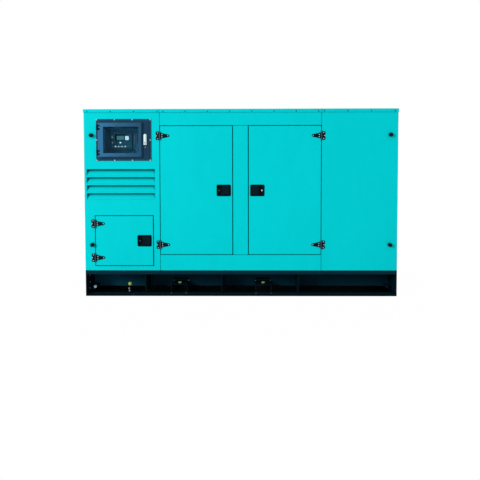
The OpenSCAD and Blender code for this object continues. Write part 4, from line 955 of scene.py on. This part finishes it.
def buildTurbineDetail():
    casing = {"flanges": ((0.01, 0.165, 16), (0.21, 0.19, 20), (0.357, 0.187, 22), (0.695, 0.184, 22)),
              "bolt": (6 * mm, 7 * mm), "ringAt": 0.46, "ring": 0.262, "pipe": 9 * mm, "nozzleAcross": 0.02,
              "nozzle": ((0, 12), (9, 12), (11, 4), (11, -30), (0, -30)), "sink": 0.97,
              "nozzles": (-60, 34, 8),  # start, pitch in degrees, count
              "drop": ((0.0, -0.225, -0.134), (-0.02, -0.262, -0.24)),  # from the ring, at the shaft's height
              "run": ((-0.1, 0.12), (-0.3, 0.09), (-0.42, 0.06), (-0.44, 0.002))}  # then above the floor
    low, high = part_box("turbine")
    length = high.x - low.x
    bolts, pipes = bmesh.new(), bmesh.new()
    for share, radius, count in casing["flanges"]:
        for i in range(count):
            t = 2 * math.pi * i / count
            place = (low.x + length * share, radius * math.cos(t), shaftZ + radius * math.sin(t))
            hexBolt(bolts, place, (-1, 0, 0), *casing["bolt"])
    piece("turbine_bolts", bolts, "bareSteel", "root")
    ringX = low.x + length * casing["ringAt"]
    reach = casing["ring"]
    angles = [t * math.pi / 18 for t in range(-12, 25)]
    ring = [(ringX, reach * math.cos(t), shaftZ + reach * math.sin(t)) for t in angles]
    swept(pipes, ring, casing["pipe"], 10)
    start, pitch, count = casing["nozzles"]
    seat = reach * casing["sink"]
    for i in range(count):
        t = math.radians(start + i * pitch)
        y, z = math.cos(t), math.sin(t)
        place = (ringX + casing["nozzleAcross"], seat * y, shaftZ + seat * z)
        turned(pipes, inMm(casing["nozzle"]), place, (0, y, z), 12)
    feed = [(ringX + x, y, shaftZ + z) for x, y, z in casing["drop"]]
    feed += [(ringX + x, -reach, floorZ + z) for x, z in casing["run"]]
    swept(pipes, feed, casing["pipe"], 10)
    piece("fuel_pipes", pipes, "casingSteel", "root")


def buildCastings():  # the alternator's fins and cover, and the gearbox's ribs
    fin = {"up": 0.35, "radius": 0.2065, "start": -58, "sweep": 296, "count": 30, "gap": 0.82, "half": 0.085,
           "places": (0.2, 0.39), "thick": 3 * mm, "edge": 1 * mm}
    cover = {"x": (0.13, 0.408), "y": 0.157, "z": (-0.012, 4 * mm), "edge": 2 * mm}
    rib = {"in": 0.035, "pitch": 0.05, "count": 4, "out": 0.19, "half": (5 * mm, 9 * mm), "low": 0.02,
           "top": 0.01, "edge": 2 * mm}
    bm = bmesh.new()
    low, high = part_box("alternator")
    for i in range(fin["count"]):
        t = math.radians(fin["start"] + i * fin["sweep"] / (fin["count"] - 1))
        if abs(t - math.pi / 2) < fin["gap"]:  # the terminal box stands there
            continue
        y, z = fin["radius"] * math.cos(t), floorZ + fin["up"] + fin["radius"] * math.sin(t)
        for across in fin["places"]:
            blockAt(bm, (low.x + across, y, z), (fin["half"], fin["thick"], fin["thick"]), fin["edge"])
    (x0, x1), (z0, z1) = cover["x"], cover["z"]
    block(bm, (low.x + x0, -cover["y"], high.z + z0), (low.x + x1, cover["y"], high.z + z1), cover["edge"])
    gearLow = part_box("gearbox")[0]
    halfX, halfY = rib["half"]
    for y in (-rib["out"], rib["out"]):
        for i in range(rib["count"]):
            x = gearLow.x + rib["in"] + i * rib["pitch"]
            block(bm, (x - halfX, y - halfY, gearLow.z + rib["low"]),
                  (x + halfX, y + halfY, shaftZ - rib["top"]), rib["edge"])
    piece("machine_castings", bm, "machineGrey", "root")


def buildSilencerStraps():  # straps round the silencer and clamps on its duct
    strap = {"body": 0.69, "places": (0.03, 0.23, 0.44, 0.66), "half": 9 * mm, "thick": 2.5 * mm, "low": 0.01,
             "top": 0.005, "edge": 1 * mm, "clamps": (0.03, 0.12),
             "clamp": ((136, -9), (143, -9), (145, 0), (143, 9), (136, 9))}
    low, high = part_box("silencer")
    half, thick, edge = strap["half"], strap["thick"], strap["edge"]
    bm = bmesh.new()
    for place in strap["places"]:
        x = high.x - strap["body"] + place
        for y in (low.y, high.y):
            block(bm, (x - half, y - thick, low.z + strap["low"]),
                  (x + half, y + thick, high.z - strap["top"]), edge)
        block(bm, (x - half, low.y, high.z - thick), (x + half, high.y, high.z + thick), edge)
    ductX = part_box("turbine")[1].x
    for across in strap["clamps"]:
        turned(bm, inMm(strap["clamp"]), (ductX + across, 0, shaftZ), (1, 0, 0), 40)
    piece("silencer_straps", bm, "bareSteel", "root")


def buildCableBay():  # the terminal board behind the cable door
    board = {"x": (-1.37, -0.87), "top": 0.71, "y": -0.262, "thick": 4 * mm, "postIn": 0.02, "post": 3 * mm,
             "postBack": 0.03, "edge": 1 * mm}
    bar = {"count": 4, "start": 0.08, "pitch": 0.11, "block": (26 * mm, 0.50, 0.62), "blockOut": 16 * mm,
           "blockEdge": 4 * mm, "bar": (15 * mm, 0.42, 0.61), "barOut": 22 * mm, "bolts": (0.45, 0.52, 0.59),
           "bolt": (8 * mm, 7 * mm)}
    steel, insulators, bars = bmesh.new(), bmesh.new(), bmesh.new()
    (x0, x1), y, top, edge = board["x"], board["y"], board["top"], board["edge"]
    block(steel, (x0, y, floorZ), (x1, y + board["thick"], top), edge)
    for x in (x0 + board["postIn"], x1 - board["postIn"]):
        block(steel, (x - board["post"], y, floorZ), (x + board["post"], y + board["postBack"], top), edge)
    blockY, barY = y - bar["blockOut"], y - bar["barOut"]
    for i in range(bar["count"]):
        x = x0 + bar["start"] + i * bar["pitch"]
        half, low, high = bar["block"]
        block(insulators, (x - half, blockY, low), (x + half, y, high), bar["blockEdge"])
        half, low, high = bar["bar"]
        block(bars, (x - half, barY, low), (x + half, blockY, high), edge)
        for z in bar["bolts"]:
            hexBolt(bars, (x, barY, z), (0, -1, 0), *bar["bolt"])
    piece("terminal_board", steel, "machineGrey", "root")
    piece("terminal_insulators", insulators, "blackPlastic", "root")
    piece("terminal_bars", bars, "bareSteel", "root")


buildRoofScrews()
buildEndScrews()
buildHinges()
buildLockTrims()
buildDoorSeals()
buildWindowScrews()
buildWindowRubber()
buildWindowLock()
buildWindowHinges()
print("stage: fittings built")
buildControllerFace()
buildPanelMarks()
buildRecessRibs()
print("stage: control bay built")
buildBaseBolts()
buildWelds()
buildStubPlugs()
buildEarthNuts()
buildTurbineDetail()
buildCastings()
buildSilencerStraps()
buildCableBay()
print("stage: base and machine details built")


# camera, stage and light

def turnedBy(degrees, axis):
    return Matrix.Rotation(math.radians(degrees), 4, axis)


def buildCamera():
    view = {"place": (0.0417, -5.1446, 1.2663), "down": 2.17, "left": 0.592, "roll": -0.098, "lens": 36.1,
            "shift": (0.0, -0.1185)}
    data = bpy.data.cameras.new("camera")
    data.sensor_width = 36.0
    data.lens = view["lens"]
    data.shift_x, data.shift_y = view["shift"]
    data.dof.use_dof = False
    camera = bpy.data.objects.new("camera", data)
    camera.location = view["place"]
    aim = turnedBy(view["left"], "Z") @ turnedBy(90 - view["down"], "X") @ turnedBy(view["roll"], "Z")
    camera.rotation_euler = aim.to_euler()
    bpy.context.collection.objects.link(camera)
    bpy.context.scene.camera = camera


def seenDirectly(tree):  # 1 for camera, mirror and see-through rays
    path = tree.nodes.new("ShaderNodeLightPath").outputs
    some = calc(tree, "MAXIMUM", path["Is Camera Ray"], path["Is Glossy Ray"])
    return calc(tree, "MAXIMUM", some, path["Is Transmission Ray"])


def buildStage():
    stage = {"size": 40.0, "albedo": (0.78, 0.78, 0.78), "glow": 0.99, "near": 1.6, "far": 3.0}
    bm = bmesh.new()
    half = stage["size"]
    corners = ((-half, -half), (half, -half), (half, half), (-half, half))
    bm.faces.new([bm.verts.new((x, y, 0.0)) for x, y in corners])
    mesh = bpy.data.meshes.new("studio_floor")
    bm.to_mesh(mesh)
    bm.free()
    floor = bpy.data.objects.new("studio_floor", mesh)
    bpy.context.collection.objects.link(floor)
    material = bpy.data.materials.new("studioFloor")
    material.use_nodes = True
    tree = material.node_tree
    tree.nodes.clear()
    matte = addNode(tree, "BsdfDiffuse", values={"Color": (*stage["albedo"], 1.0)})
    white = addNode(tree, "Emission", values={"Strength": 1.0})
    away = addNode(tree, "VectorMath", operation="LENGTH", links={0: placeOn(tree)}).outputs["Value"]
    glow = remap(tree, away, stage["near"], stage["far"], stage["glow"], 1.0)
    share = calc(tree, "MULTIPLY", seenDirectly(tree), glow)
    mix = addNode(tree, "MixShader", links={0: share, 1: matte.outputs[0], 2: white.outputs[0]})
    tree.links.new(mix.outputs[0], tree.nodes.new("ShaderNodeOutputMaterial").inputs["Surface"])
    mesh.materials.append(material)


def buildLight():
    light = {"place": (-10.0, -10.5, 5.6), "target": (0.0, -0.5, 0.9), "size": 4.0, "power": 1300.0,
             "sky": 0.56}
    world = bpy.data.worlds.new("studioWorld")
    world.use_nodes = True
    tree = world.node_tree
    tree.nodes.clear()
    sky, seen = [addNode(tree, "Background", values={"Color": (1, 1, 1, 1), "Strength": strength})
                 for strength in (light["sky"], 1.0)]
    mix = addNode(tree, "MixShader", links={0: seenDirectly(tree), 1: sky.outputs[0], 2: seen.outputs[0]})
    tree.links.new(mix.outputs[0], tree.nodes.new("ShaderNodeOutputWorld").inputs["Surface"])
    bpy.context.scene.world = world
    data = bpy.data.lights.new("key_light", "AREA")
    data.shape = "DISK"
    data.size = light["size"]
    data.energy = light["power"]
    lamp = bpy.data.objects.new("key_light", data)
    lamp.location = light["place"]
    aim = Vector(light["target"]) - Vector(light["place"])
    lamp.rotation_euler = aim.to_track_quat("-Z", "Y").to_euler()
    bpy.context.collection.objects.link(lamp)


buildCamera()
buildStage()
buildLight()
bpy.context.scene.view_settings.view_transform = "Standard"
print("stage: camera, stage and light set")
